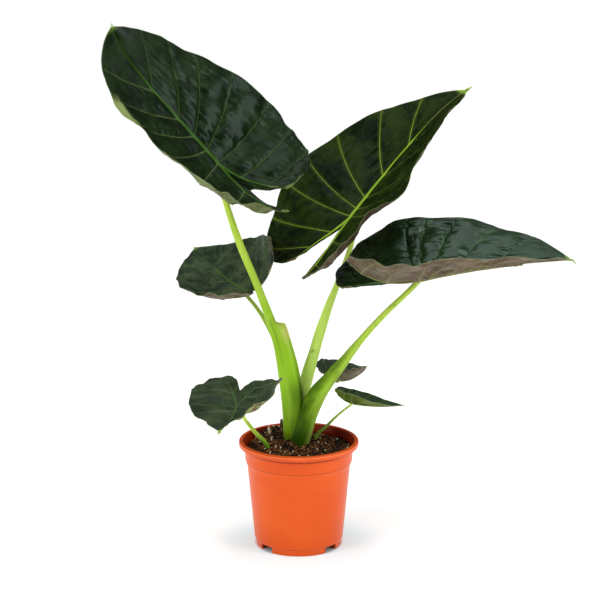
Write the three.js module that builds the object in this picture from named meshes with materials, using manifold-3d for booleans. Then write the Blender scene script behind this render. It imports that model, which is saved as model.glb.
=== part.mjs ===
// Potted alocasia: a plastic nursery pot filled with soil, seven leaves on long sheathed stalks.
// Millimetres, +Z up. Everything is modelled about the pot's axis with the pot's foot at z = 0, and the
// whole plant is then moved sideways so that the origin is the middle of its outline seen from above.
import * as THREE from "three";
import Module from "manifold-3d";

const wasm = await Module();
wasm.setup();

const DEG = Math.PI / 180;
const GAP = 0.35; // clearance between one piece and the next

// Pot
const RIM_RADIUS = 86.7;
const RIM_TOP = 156;
const WALL = 1.4;
const FLOOR = 7.5;
const POT_SIDES = 40;
const NOTCH = { angles: [48, 132, 228, 312], width: 21, height: 8, inner: 49 };

// Soil
const SOIL_EDGE = 142; // height at the pot's wall
const STALK_DEPTH = 22; // how far a stalk goes down into its hole

// Blades
const BLADE = 0.8; // thickness
const WIDEST = -0.03; // all blade outlines are in parts of the length from stalk to tip
const VEIN_START = 0.04; // the laterals behind this point spring from the lobe ribs
const LOBE_RIB = 0.93; // how far the lobe rib runs towards the end of the lobe
const LOBE_UNIT = 0.52; // a lobe of this length is bent by the full pitch
const LOBE_VEINS = 2;
const ACROSS = { large: [0, 0.12, 0.32, 0.55, 0.78, 0.93, 1], small: [0, 0.2, 0.5, 0.8, 1] }; // steps along a lateral

// Seven leaves. junction: where the stalk meets the blade. heading, climb and roll turn the blade, arch and
// tipArch bend the midrib, sway and twist turn it sideways, fold and curl lift each half at the lobes, at the
// junction and at the tip. Each pair is [left, right] seen from the stalk with the upper face up. Degrees.
// sinus is the bottom of the notch between the lobes, and laterals is where the side veins reach the margin.
// On a leaf with a hub the veins meet that far in front of the stalk, and its lobe ribs spread apart.
const LEAVES = {
  1: {
    junction: [-114, 21, 555], length: 273, halfWidth: 0.48, tipFullness: 0.29, lobes: [0.59, 0.4],
    heading: 182, climb: 49, roll: -47, arch: 30, tipArch: 45, sway: 25, twist: -28, lobePitch: [65, 62],
    fold: [[1, 5, 15], [24, 8, -25]], curl: [[60, 68, 85], [-27, 1, -26]],
    size: "large", laterals: [0.8, 0.65, 0.5, 0.3], sinus: 0.22,
    quilt: 4.4, wave: 2.4, waves: 2.4, phase: 0.4,
  },
  2: {
    junction: [76.5, 92, 467.5], length: 262, halfWidth: 0.53, tipFullness: 0.21, lobes: [0.4, 0.59],
    heading: 38, climb: 42, roll: 12, arch: 15, tipArch: -24, sway: -17, twist: 35, lobePitch: [19, 23],
    fold: [[0, 13, 3], [-17, 25, 50]], curl: [[-25, -17, -39], [85, 22, 72]],
    size: "large", laterals: [0.82, 0.65, 0.42, 0.22], sinus: 0.08,
    quilt: 1.9, wave: 2.6, waves: 2.2, phase: 2.1,
  },
  3: {
    junction: [167, -22, 396.5], length: 228, halfWidth: 0.49, tipFullness: 0.32, lobes: [0.49, 0.56],
    heading: 4, climb: 12, roll: 8, arch: -19, tipArch: 7, sway: 13, twist: 3, lobePitch: [-1, 57],
    fold: [[6, 31, 40], [13, 16, 32]], curl: [[13, 3, -47], [32, 31, -9]],
    size: "large", laterals: [0.78, 0.57, 0.34, 0.16], sinus: 0.08,
    quilt: 4.4, wave: 2.2, waves: 2.6, phase: 4.0,
  },
  4: {
    junction: [-84, -84, 240], length: 148, halfWidth: 0.46, tipFullness: 0.2, lobes: [0.44, 0.53],
    heading: -95, climb: -17, roll: 7, arch: 40, tipArch: -20, sway: -1, twist: 8, lobePitch: [-1, -13],
    fold: [[-27, -23, 22], [0, 12, 17]], curl: [[48, 83, 44], [-8, -5, 24]],
    size: "small", laterals: [0.7, 0.42], sinus: 0.155, hub: 0.15, ribSpread: 0.5,
    quilt: 2.0, wave: 1.6, waves: 2.2, phase: 1.2,
  },
  5: {
    junction: [76, -19, 216], length: 74, halfWidth: 0.47, tipFullness: 0.21, lobes: [0.46, 0.44],
    heading: -11, climb: -9, roll: -13, arch: 20, tipArch: -4, sway: 1, twist: 4, lobePitch: [60, 55],
    fold: [[19, 24, 22], [17, 19, 9]], curl: [[12, 13, 8], [5, 10, 4]],
    size: "small", laterals: [0.66, 0.34], sinus: 0.08,
    quilt: 0.6, wave: 0.5, waves: 2.0, phase: 0.0,
  },
  6: {
    junction: [61, 65, 227], length: 81, halfWidth: 0.49, tipFullness: 0.24, lobes: [0.55, 0.43],
    heading: 56, climb: -16, roll: 10, arch: 33, tipArch: 7, sway: 11, twist: -2, lobePitch: [7, 34],
    fold: [[17, 26, 48], [25, 37, 47]], curl: [[20, 18, 32], [30, 24, 27]],
    size: "small", laterals: [0.66, 0.34], sinus: 0.08,
    quilt: 0.7, wave: 1.2, waves: 2.5, phase: 2.0,
  },
  7: {
    junction: [-84, 100, 357], length: 193, halfWidth: 0.47, tipFullness: 0.31, lobes: [0.48, 0.52],
    heading: 114, climb: 2, roll: -14, arch: 14, tipArch: 3, sway: -1, twist: -2, lobePitch: [28, 41],
    fold: [[3, -4, 5], [23, 17, 17]], curl: [[30, 45, 17], [81, 60, 15]],
    size: "large", laterals: [0.8, 0.6, 0.4, 0.2], sinus: 0.24,
    quilt: 1.4, wave: 1.8, waves: 2.3, phase: 5.0,
  },
};

// Stalks, from the soil up: [x, y, z, radius]. The channel side of a stalk faces inward; its sheath is the
// pair of edges beside the channel, given as [z, how far they stand out].
const STALKS = {
  1: {
    inward: [1, -0.25, 0.3], sides: 16,
    path: [
      [-11, 15, 158, 11], [-14, 14, 205, 10.5], [-20, 13, 249, 9.5], [-28, 14, 293, 8.5], [-39, 16, 325, 7],
      [-58, 18, 376, 5.6], [-84, 21, 440, 5.3], [-103, 24, 498, 4.3], [-111, 24, 530, 4.2],
    ],
    sheath: [[165, 0], [205, 5], [249, 11.5], [293, 9.5], [317, 11.5], [325, 0]],
  },
  2: {
    inward: [-1, -0.6, 0.2], sides: 12,
    path: [
      [4, 29, 158, 7.5], [5, 29, 190, 8], [7, 30, 217, 9], [13, 34, 244, 9.2], [24, 42, 280, 7.6], [32, 49, 305, 7],
      [44, 59, 341, 5.9], [53, 66, 363, 4.8], [70, 80, 406, 4.1], [79, 88, 438, 3.8],
    ],
    sheath: [[270, 0], [300, 1], [345, 0]],
  },
  3: {
    inward: [-1, 0, 1], sides: 16,
    path: [
      [6, 3, 150, 10], [11, 2, 168, 9.8], [19, 1, 195, 9.4], [34, -1, 227, 8.3], [61, -5, 267, 6.3], [92, -10, 311, 4.8],
      [126, -14, 350, 4.2], [148, -17, 372, 3.9],
    ],
    sheath: [[160, 0], [195, 6], [222, 8], [250, 5], [285, 2], [308, 0]],
  },
  4: {
    inward: [0.3, 0.5, 1], sides: 8,
    path: [[-45, -7, 146, 3.3], [-63, -20, 173, 2.9], [-77, -40, 199, 2.5], [-82, -62, 219, 2.3]],
    sheath: [],
  },
  5: {
    inward: [-0.5, 0.5, 1], sides: 8,
    path: [[25, 29, 150, 2.9], [42, 18, 172, 2.2], [57, 3, 192, 1.7]],
    sheath: [],
  },
  6: {
    inward: [-1, -1, 1], sides: 8,
    path: [[16, 36, 152, 3.2], [23, 46, 188, 2.7], [35, 62, 208, 2.3], [49, 74, 222, 2.0]],
    sheath: [],
  },
  7: {
    inward: [1, -0.5, 0.5], sides: 8,
    path: [[-12, 40, 154, 5], [-18, 51, 235, 4.2], [-34, 62, 285, 3.6], [-52, 74, 319, 3.1], [-65, 84, 336, 2.8]],
    sheath: [],
  },
};
const STUB = { at: [-24, 44], bottom: 148, top: 173, radius: 2.6 };

const COLOURS = {
  pot: 0xe0622f, soil: 0x3a2a20, stub: 0x4a3826, stalk: 0x86b432, blade: 0x22372a,
};

// Small helpers

const clamp = (x, lo, hi) => Math.min(hi, Math.max(lo, x));
const mix = (a, b, t) => a + (b - a) * t;
const smooth = (t) => t * t * (3 - 2 * t);
const sinc = (x) => (Math.abs(x) < 1e-6 ? 1 : Math.sin(x) / x);

function bezier(p, t) {
  const s = 1 - t;
  const w = [s * s * s, 3 * s * s * t, 3 * s * t * t, t * t * t];
  return [0, 1].map((i) => w[0] * p[0][i] + w[1] * p[1][i] + w[2] * p[2][i] + w[3] * p[3][i]);
}

// A value read off a list of [position, value] steps, smoothed between them.
function along(steps, at) {
  if (steps.length === 0) return 0;
  if (at <= steps[0][0]) return steps[0][1];
  for (let i = 1; i < steps.length; i++) {
    const [a, va] = steps[i - 1];
    const [b, vb] = steps[i];
    if (at <= b) return mix(va, vb, smooth((at - a) / (b - a)));
  }
  return steps[steps.length - 1][1];
}

function solid(positions, triangles) {
  return new wasm.Manifold(
    new wasm.Mesh({
      numProp: 3,
      vertProperties: new Float32Array(positions.flat()),
      triVerts: new Uint32Array(triangles.flat()),
    }),
  );
}

function meshOf(name, body, colour) {
  const m = body.getMesh();
  const geometry = new THREE.BufferGeometry();
  const points = new Float32Array(m.numVert * 3);
  for (let i = 0; i < m.numVert; i++) {
    for (let k = 0; k < 3; k++) points[3 * i + k] = m.vertProperties[m.numProp * i + k];
  }
  geometry.setAttribute("position", new THREE.BufferAttribute(points, 3));
  geometry.setIndex(new THREE.BufferAttribute(new Uint32Array(m.triVerts), 1));
  const flat = geometry.toNonIndexed();
  flat.computeVertexNormals();
  const mesh = new THREE.Mesh(flat, new THREE.MeshStandardMaterial({ color: colour, roughness: 0.5 }));
  mesh.name = name;
  return mesh;
}

// A closed body from rings of points, each joined to the next, with a fan over both ends.
function loft(rings, endCentre) {
  const n = rings[0].length;
  const points = rings.flat();
  const triangles = [];
  for (let i = 0; i + 1 < rings.length; i++) {
    for (let j = 0; j < n; j++) {
      const a = i * n + j;
      const b = i * n + ((j + 1) % n);
      triangles.push([a, b, b + n], [a, b + n, a + n]);
    }
  }
  const middle = (ring) => [0, 1, 2].map((k) => ring.reduce((sum, p) => sum + p[k], 0) / n);
  points.push(middle(rings[0]), endCentre || middle(rings[rings.length - 1]));
  const last = (rings.length - 1) * n;
  for (let j = 0; j < n; j++) {
    const k = (j + 1) % n;
    triangles.push([points.length - 2, k, j], [points.length - 1, last + j, last + k]);
  }
  return solid(points, triangles);
}

// A body turned about the Z axis from a closed [radius, z] outline that starts and ends on the axis.
function turned(outline, sides) {
  const rings = outline.slice(1, -1).map(([r, z]) =>
    Array.from({ length: sides }, (_, j) => {
      const a = (2 * Math.PI * j) / sides;
      return [r * Math.cos(a), r * Math.sin(a), z];
    }),
  );
  const points = [...rings.flat(), [0, 0, outline[0][1]], [0, 0, outline[outline.length - 1][1]]];
  const triangles = [];
  const last = (rings.length - 1) * sides;
  for (let j = 0; j < sides; j++) {
    const k = (j + 1) % sides;
    for (let i = 0; i + 1 < rings.length; i++) {
      const a = i * sides;
      triangles.push([a + j, a + k, a + sides + k], [a + j, a + sides + k, a + sides + j]);
    }
    triangles.push([points.length - 2, k, j], [points.length - 1, last + j, last + k]);
  }
  return solid(points, triangles);
}

// Pot: foot ring, straight taper, a step out into the collar, and a lip round the top

const POT_OUTSIDE = [
  [58.6, 0], [62, 0], [63, 8], [64.6, 11], [74.7, 119], [77.6, 127], [78.6, 147.5],
  [85.6, 148], [RIM_RADIUS, 149.5], [RIM_RADIUS, 154.4], [85.6, RIM_TOP],
];
const POT_INSIDE = [
  [81.2, RIM_TOP], [80.2, 154.6], [77.6, 146], [76.5, 127.6], [73.3, 119.6], [63.2, 11], [60, FLOOR],
];

function makePot() {
  let pot = turned([[0, 6], [57.6, 6], [58.6, 5], ...POT_OUTSIDE, ...POT_INSIDE, [0, FLOOR]], POT_SIDES);
  for (const angle of NOTCH.angles) {
    const half = (NOTCH.width / 2) * DEG;
    const corner = (r, a, z) => [r * Math.sin(angle * DEG + a), -r * Math.cos(angle * DEG + a), z];
    const ring = (z) => [
      corner(NOTCH.inner, -half, z), corner(70, -half, z), corner(70, half, z), corner(NOTCH.inner, half, z),
    ];
    pot = pot.subtract(loft([ring(-1), ring(NOTCH.height)]));
  }
  return pot;
}

// Blades

function marginOf(leaf, side) {
  const w = leaf.halfWidth;
  const b = leaf.lobes[side];
  return [
    [[1, 0], [0.7, 2.05 * leaf.tipFullness * w], [WIDEST + 0.42, w], [WIDEST, w]],
    [[WIDEST, w], [WIDEST - 0.3, w], [-b, 0.76 * w], [-b, 0.42 * w]],
    [[-b, 0.42 * w], [-b, 0.16 * w], [-Math.max(0.62 * b, leaf.sinus + 0.03), 0.1 * w], [-leaf.sinus, 0]],
  ];
}

const marginPoint = (margin, s) => bezier(margin[Math.min(2, Math.floor(s))], s - Math.min(2, Math.floor(s)));

// Where on the margin, between s = from and s = to, the outline is at u.
function marginAt(margin, u, from, to) {
  const falling = marginPoint(margin, from)[0] > marginPoint(margin, to)[0];
  for (let i = 0; i < 40; i++) {
    const middle = (from + to) / 2;
    if (marginPoint(margin, middle)[0] > u === falling) from = middle;
    else to = middle;
  }
  return (from + to) / 2;
}

// A point of the flat blade at part t of the way along the lateral from root to the margin at s.
function lateralPoint(root, margin, s, t) {
  const end = marginPoint(margin, s);
  const reach = Math.hypot(end[0] - root[0], end[1] - root[1]);
  const back = s <= 2 ? 0.1 * reach : 0;
  const via = [(root[0] + end[0]) / 2 - back, (root[1] + end[1]) / 2];
  return [0, 1].map((k) => (1 - t) * (1 - t) * root[k] + 2 * t * (1 - t) * via[k] + t * t * end[k]);
}

function bladeAxes(leaf) {
  const a = leaf.heading * DEG;
  const e = leaf.climb * DEG;
  const forward = new THREE.Vector3(Math.cos(e) * Math.cos(a), Math.cos(e) * Math.sin(a), Math.sin(e));
  const left = new THREE.Vector3(-Math.sin(a), Math.cos(a), 0);
  const up = new THREE.Vector3().crossVectors(forward, left);
  left.applyAxisAngle(forward, leaf.roll * DEG);
  up.applyAxisAngle(forward, leaf.roll * DEG);
  return { forward, left, up };
}

// The flat blade's point (u, v), in parts of the length, bent to its place in space. v is positive on the left.
function bladePoint(leaf, u, v, side) {
  const { forward, left, up } = bladeAxes(leaf);
  let x = 0;
  let z = 0;
  let pitch = 0;
  const steps = 40;
  const reach = clamp(u, 0, 1);
  const pitchAt = (w) => (leaf.arch * w + leaf.tipArch * w ** 4) * DEG;
  for (let i = 0; i < steps; i++) {
    const w = ((i + 0.5) * reach) / steps;
    x += (Math.cos(pitchAt(w)) * reach) / steps;
    z += (Math.sin(pitchAt(w)) * reach) / steps;
  }
  pitch = pitchAt(reach);
  if (u < 0) {
    const turn = (leaf.lobePitch[side] * DEG * -u) / LOBE_UNIT;
    x = u * sinc(turn);
    z = -u * Math.sin(turn / 2) * sinc(turn / 2);
    pitch = -turn;
  }
  const sideways = 0.5 * leaf.sway * DEG * reach * reach;
  const normal = up.clone().multiplyScalar(Math.cos(pitch)).addScaledVector(forward, -Math.sin(pitch));
  const twist = leaf.twist * DEG * clamp(u, -0.6, 1);
  const across = left.clone().multiplyScalar(Math.cos(twist)).addScaledVector(normal, Math.sin(twist));
  const raised = normal.clone().multiplyScalar(Math.cos(twist)).addScaledVector(left, -Math.sin(twist));
  const atLobe = smooth(clamp(-u / LOBE_UNIT, 0, 1));
  const atTip = smooth(clamp(u, 0, 1));
  const blend = ([lobe, base, tip]) => (base + (lobe - base) * atLobe + (tip - base) * atTip) * DEG;
  const fold = blend(leaf.fold[side]);
  const curl = blend(leaf.curl[side]);
  const width = Math.abs(v);
  const angle = curl * (width / leaf.halfWidth);
  const out = width * Math.cos(fold + angle / 2) * sinc(angle / 2);
  const rise = width * Math.sin(fold + angle / 2) * sinc(angle / 2);
  return new THREE.Vector3(...leaf.junction)
    .addScaledVector(forward, leaf.length * x)
    .addScaledVector(up, leaf.length * z)
    .addScaledVector(left, leaf.length * sideways)
    .addScaledVector(across, leaf.length * (side === 0 ? out : -out))
    .addScaledVector(raised, leaf.length * rise);
}

// The blade is a net of laterals: from the midrib towards the margin in front of the stalk, and from each
// lobe's own rib behind it. Every other lateral is a vein; the panel between two veins stands up.
function bladeNet(leaf) {
  const columns = ACROSS[leaf.size];
  const points = [];
  const lift = [];
  const keel = [];
  const shared = new Map();
  const triangles = [];
  const edge = [[], []];
  const between = (list) => list.flatMap((u, i) => (i === 0 ? [u] : [(list[i - 1] + u) / 2, u]));
  const hub = leaf.hub || 0;
  const first = hub + VEIN_START;
  const front = between([1, ...leaf.laterals, first]);
  const lobeSteps = between([0, ...Array.from({ length: LOBE_VEINS }, (_, i) => (i + 1) / (LOBE_VEINS + 0.7)), 1]).slice(1);

  function add(key, u, v, side, puff, rib) {
    if (key && shared.has(key)) return shared.get(key);
    points.push(bladePoint(leaf, u, side === 0 ? v : -v, side));
    lift.push(puff);
    keel.push(rib);
    if (key) shared.set(key, points.length - 1);
    return points.length - 1;
  }

  for (const side of [0, 1]) {
    const margin = marginOf(leaf, side);
    const b = leaf.lobes[side];
    const rows = [];
    const wave = (s, t) => leaf.wave * t ** 3 * Math.sin(2 * Math.PI * leaf.waves * s + leaf.phase + 2.4 * side) * clamp(4 * s, 0, 1);
    const puff = (s, t, isVein) => (isVein ? -0.15 : 1) * leaf.quilt * Math.sin(Math.PI * t ** 0.75) ** 0.7 + wave(s, t);
    const rib = (t, isVein, size) => (isVein ? size * (1 - t) ** 0.7 : 0);

    front.forEach((u, i) => {
      const s = i === 0 ? 0 : marginAt(margin, u, 0, 2);
      const ahead = (u - first) / (1 - first);
      const start = mix(hub, 1, ahead ** (1.3 + 2.1 * ahead)); // towards the tip the laterals lean forward more
      const isVein = i % 2 === 0;
      const midrib = mix(0.009, 0.0015, Math.sqrt(start)) * leaf.length;
      rows.push(
        columns.map((t, j) => {
          if (i === 0) return add("tip", 1, 0, side, 0, 0);
          if (j === 0) return add("mid" + i, start, 0, side, 0, midrib);
          const [pu, pv] = lateralPoint([start, 0], margin, s, t);
          return add(null, pu, pv, side, puff(s, t, isVein), rib(t, isVein, 0.5 * midrib));
        }),
      );
    });
    const spread = (leaf.ribSpread || 0.26) * leaf.halfWidth;
    const ribPoint = (f) => [mix(hub, -b, LOBE_RIB * f), spread * (LOBE_RIB * f) ** 1.3];
    lobeSteps.forEach((f, i) => {
      const s = f === 1 ? 2 : marginAt(margin, mix(first, -b, f ** 0.8), 0, 2);
      const isVein = i % 2 === 1;
      const size = mix(0.006, 0.001, f) * leaf.length;
      rows.push(
        columns.map((t, j) => {
          const [pu, pv] = lateralPoint(ribPoint(f), margin, s, t);
          const key = j === 0 ? "rib" + side + i : null;
          return j === 0
            ? add(key, pu, pv, side, 0, size)
            : add(key, pu, pv, side, puff(s, t, isVein), rib(t, isVein, 0.5 * size));
        }),
      );
    });
    for (let i = lobeSteps.length - 2; i >= 0; i--) {
      const f = lobeSteps[i];
      const s = marginAt(margin, -leaf.sinus - f * (b - leaf.sinus), 2, 3);
      rows.push(
        columns.map((t, j) => {
          if (j === 0) return shared.get("rib" + side + i);
          const [pu, pv] = lateralPoint(ribPoint(f), margin, s, t);
          return add(null, pu, pv, side, 0.4 * puff(s, t, i % 2 === 1), 0);
        }),
      );
    }
    const keep = 0.009 * leaf.length;
    rows.push(
      columns.map((t, j) => {
        if (j === 0) return shared.get("mid" + (front.length - 1));
        const u = mix(hub, -leaf.sinus, t);
        return add("centre" + j, u, 0, side, 0, keep * Math.min(1, 1 + u / leaf.sinus));
      }),
    );
    for (let i = 0; i + 1 < rows.length; i++) {
      for (let j = 0; j + 1 < columns.length; j++) {
        const a = rows[i][j];
        const c = rows[i + 1][j + 1];
        for (const [p, q, r] of [[a, rows[i][j + 1], c], [a, c, rows[i + 1][j]]]) {
          if (p !== q && q !== r && r !== p) triangles.push(side === 0 ? [p, q, r] : [p, r, q]);
        }
      }
    }
    edge[side] = rows.map((row) => row[row.length - 1]);
  }
  return { points, lift, keel, triangles, edge: [...edge[0], ...edge[1].slice(1, -1).reverse()] };
}

function normalsOf(points, triangles) {
  const normals = points.map(() => new THREE.Vector3());
  for (const [a, b, c] of triangles) {
    const ab = points[b].clone().sub(points[a]);
    const ac = points[c].clone().sub(points[a]);
    const n = ab.cross(ac);
    for (const i of [a, b, c]) normals[i].add(n);
  }
  return normals.map((n) => n.normalize());
}

function makeBlade(leaf) {
  const net = bladeNet(leaf);
  const flatNormals = normalsOf(net.points, net.triangles);
  const upper = net.points.map((p, i) => p.clone().addScaledVector(flatNormals[i], net.lift[i]));
  const normals = normalsOf(upper, net.triangles);
  const lower = upper.map((p, i) => p.clone().addScaledVector(normals[i], -BLADE - net.keel[i]));
  const n = upper.length;
  const triangles = [...net.triangles, ...net.triangles.map(([a, b, c]) => [a + n, c + n, b + n])];
  net.edge.forEach((a, i) => {
    const b = net.edge[(i + 1) % net.edge.length];
    triangles.push([a, a + n, b + n], [a, b + n, b]);
  });
  return solid([...upper, ...lower].map((p) => p.toArray()), triangles);
}

// Stalks

// A stalk's rings, grown all round by extra. It goes down into the soil below its first point, and its last
// ring lies on the underside of the blade.
function makeStalk(stalk, leaf, extra = 0) {
  const [x0, y0, z0, r0] = stalk.path[0];
  const sunk = [x0, y0, z0 - STALK_DEPTH - extra, 0.8 * r0];
  const { forward, left, up } = bladeAxes(leaf);
  const joint = new THREE.Vector3(...leaf.junction);
  const keel = 0.009 * leaf.length + BLADE + 0.5;
  const seatMiddle = joint.clone().addScaledVector(up, -keel);
  const arriving = seatMiddle.clone().sub(new THREE.Vector3(...stalk.path.at(-1).slice(0, 3))).normalize();
  const root = seatMiddle.addScaledVector(arriving, -1.6 * stalk.path.at(-1)[3]);
  const path = [sunk, ...stalk.path, [...root.toArray(), stalk.path.at(-1)[3]]];
  const curve = new THREE.CatmullRomCurve3(path.map((p) => new THREE.Vector3(p[0], p[1], p[2])));
  const inward = new THREE.Vector3(...stalk.inward);
  const rings = [];
  const perSpan = 2;
  const count = (path.length - 1) * perSpan;
  let axes;
  for (let i = 0; i <= count; i++) {
    const t = i / count;
    const centre = curve.getPoint(t);
    const tangent = curve.getTangent(t);
    const channel = inward.clone().addScaledVector(tangent, -inward.dot(tangent)).normalize();
    const flank = new THREE.Vector3().crossVectors(tangent, channel);
    axes = { tangent, channel, flank };
    const k = Math.min(path.length - 2, Math.floor(t * (path.length - 1)));
    const radius = mix(path[k][3], path[k + 1][3], t * (path.length - 1) - k) + extra;
    const wing = along(stalk.sheath, centre.z);
    rings.push(
      Array.from({ length: stalk.sides }, (_, j) => {
        const a = (2 * Math.PI * j) / stalk.sides;
        const off = Math.min(a, 2 * Math.PI - a);
        const r = radius + wing * Math.exp(-(((off - 0.39) / 0.33) ** 2)) - 0.12 * radius * Math.exp(-((off / 0.3) ** 2));
        return centre.clone().addScaledVector(channel, r * Math.cos(a)).addScaledVector(flank, r * Math.sin(a)).toArray();
      }),
    );
  }
  const slant = Math.max(0.6, axes.tangent.dot(up));
  const top = stalk.path.at(-1)[3] + extra;
  const seat = (u, v) => {
    const side = v >= 0 ? 0 : 1;
    return bladePoint(leaf, u, v, side).addScaledVector(up, -keel).toArray();
  };
  rings.push(
    Array.from({ length: stalk.sides }, (_, j) => {
      const a = (2 * Math.PI * j) / stalk.sides;
      const spoke = axes.channel.clone().multiplyScalar(top * Math.cos(a)).addScaledVector(axes.flank, top * Math.sin(a));
      spoke.addScaledVector(axes.tangent, -spoke.dot(up) / slant);
      return seat(spoke.dot(forward) / leaf.length, spoke.dot(left) / leaf.length);
    }),
  );
  return loft(rings, seat(0, 0));
}

// Soil: a mound round the stalks and a heap at the left back, over a body that follows the inside of the pot

function soilHeight(x, y) {
  const bump = (cx, cy, size, height) => height * Math.exp(-((x - cx) ** 2 + (y - cy) ** 2) / (size * size));
  const rough = 0.9 * Math.sin(0.31 * x + 0.17 * y) + 0.8 * Math.sin(0.23 * y - 0.37 * x + 1.3);
  return SOIL_EDGE + 1 + bump(-8, 22, 30, 9) + bump(-38, 50, 22, 14) + bump(10, -5, 40, 3) + rough;
}

function makeSoil() {
  const sides = 28;
  const inside = [[60, FLOOR], [63.2, 11], [73.3, 119.6], [76.5, 127.6], [77.2, SOIL_EDGE]];
  const level = inside.map(([r, z]) =>
    Array.from({ length: sides }, (_, j) => {
      const a = (2 * Math.PI * j) / sides;
      return [(r - 0.6) * Math.cos(a), (r - 0.6) * Math.sin(a), z + GAP];
    }),
  );
  const top = [66, 54, 43, 32, 21, 10].map((r) =>
    Array.from({ length: sides }, (_, j) => {
      const a = (2 * Math.PI * j) / sides;
      return [r * Math.cos(a), r * Math.sin(a), soilHeight(r * Math.cos(a), r * Math.sin(a))];
    }),
  );
  return loft([...level, ...top]);
}

function makeStub(extra = 0) {
  const [x, y] = STUB.at;
  const rings = [[STUB.bottom - extra, 1], [160, 1], [168, 0.9], [STUB.top, 0.45]].map(([z, k], i) =>
    Array.from({ length: 7 }, (_, j) => {
      const a = (2 * Math.PI * j) / 7;
      const r = STUB.radius * k + extra;
      return [x + r * Math.cos(a) - 0.15 * (z - 160), y + r * Math.sin(a), z + (i === 3 ? 1.5 * Math.cos(2 * a) : 0)];
    }),
  );
  return loft(rings);
}

// Put it together

const plant = new THREE.Group();
const pieces = new THREE.Group();
plant.add(pieces);

let soil = makeSoil();
for (const key of Object.keys(LEAVES)) soil = soil.subtract(makeStalk(STALKS[key], LEAVES[key], GAP));
soil = soil.subtract(makeStub(GAP));

pieces.add(meshOf("pot", makePot(), COLOURS.pot));
pieces.add(meshOf("soil", soil, COLOURS.soil));
pieces.add(meshOf("dead_stub", makeStub(), COLOURS.stub));
for (const key of Object.keys(LEAVES)) {
  pieces.add(meshOf("stalk_" + key, makeStalk(STALKS[key], LEAVES[key]), COLOURS.stalk));
  pieces.add(meshOf("blade_" + key, makeBlade(LEAVES[key]), COLOURS.blade));
}

const outline = new THREE.Box3().setFromObject(pieces);
const middle = outline.getCenter(new THREE.Vector3());
pieces.position.set(-middle.x, -middle.y, 0);

export default plant;
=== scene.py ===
import math

import bmesh
import bpy
import numpy as np
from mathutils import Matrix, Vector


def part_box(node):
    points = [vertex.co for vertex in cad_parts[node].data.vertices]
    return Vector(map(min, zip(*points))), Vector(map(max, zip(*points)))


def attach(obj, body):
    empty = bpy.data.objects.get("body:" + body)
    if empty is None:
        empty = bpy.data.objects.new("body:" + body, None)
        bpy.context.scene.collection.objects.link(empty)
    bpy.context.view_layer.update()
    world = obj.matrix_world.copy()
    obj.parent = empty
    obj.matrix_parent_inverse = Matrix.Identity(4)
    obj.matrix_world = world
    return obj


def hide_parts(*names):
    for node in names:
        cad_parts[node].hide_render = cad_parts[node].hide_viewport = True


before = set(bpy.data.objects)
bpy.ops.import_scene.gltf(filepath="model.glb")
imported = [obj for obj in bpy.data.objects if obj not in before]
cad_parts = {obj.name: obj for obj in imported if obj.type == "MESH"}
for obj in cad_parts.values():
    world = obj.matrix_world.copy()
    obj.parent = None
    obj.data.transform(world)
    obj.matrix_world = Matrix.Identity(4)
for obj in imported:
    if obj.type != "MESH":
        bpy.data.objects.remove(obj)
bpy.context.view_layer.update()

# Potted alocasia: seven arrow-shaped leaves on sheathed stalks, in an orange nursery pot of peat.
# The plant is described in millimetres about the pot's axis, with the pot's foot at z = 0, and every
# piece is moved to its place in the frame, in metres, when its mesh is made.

pot_low, pot_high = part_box("pot")
POT_AXIS = np.array([(pot_low.x + pot_high.x) / 2, (pot_low.y + pot_high.y) / 2, 0.0])
MM = 0.001  # metres in a millimetre

# ---------------------------------------------------------------------------------- the plant's sizes

RIM_RADIUS = 86.7
RIM_TOP = 156
POT_FLOOR = 7.5
SOIL_EDGE = 142  # height of the soil at the pot's wall
STALK_DEPTH = 22  # how far a stalk goes down into the soil
SHEATH_TURN = 0.39  # where the edges of a sheath stand, in radians from the channel
FURROW_TURN = 1.35  # and where the furrow runs
BLADE = 0.8  # thickness of a blade
WIDEST = -0.03  # blade outlines are in parts of the length from stalk to tip
VEIN_START = 0.04  # the laterals behind this point spring from the lobe ribs
LOBE_RIB = 0.93  # how far the lobe rib runs towards the end of the lobe
LOBE_UNIT = 0.52  # a lobe of this length is bent by the full pitch
LARGE = 270  # length of a large blade; veins and wrinkles are finer on a smaller one
FLAP_ROLL = 9.0  # how far a rolled margin turns under
FAR = 1e9  # further than anything
LOBE_VEINS = 2  # veins on each side of a lobe's rib, besides those at its start and its end

# How finely a large and a small blade are meshed: rows from vein to vein, columns from root to margin.
FINENESS = {"large": (24, 64), "small": (20, 40)}

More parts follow.
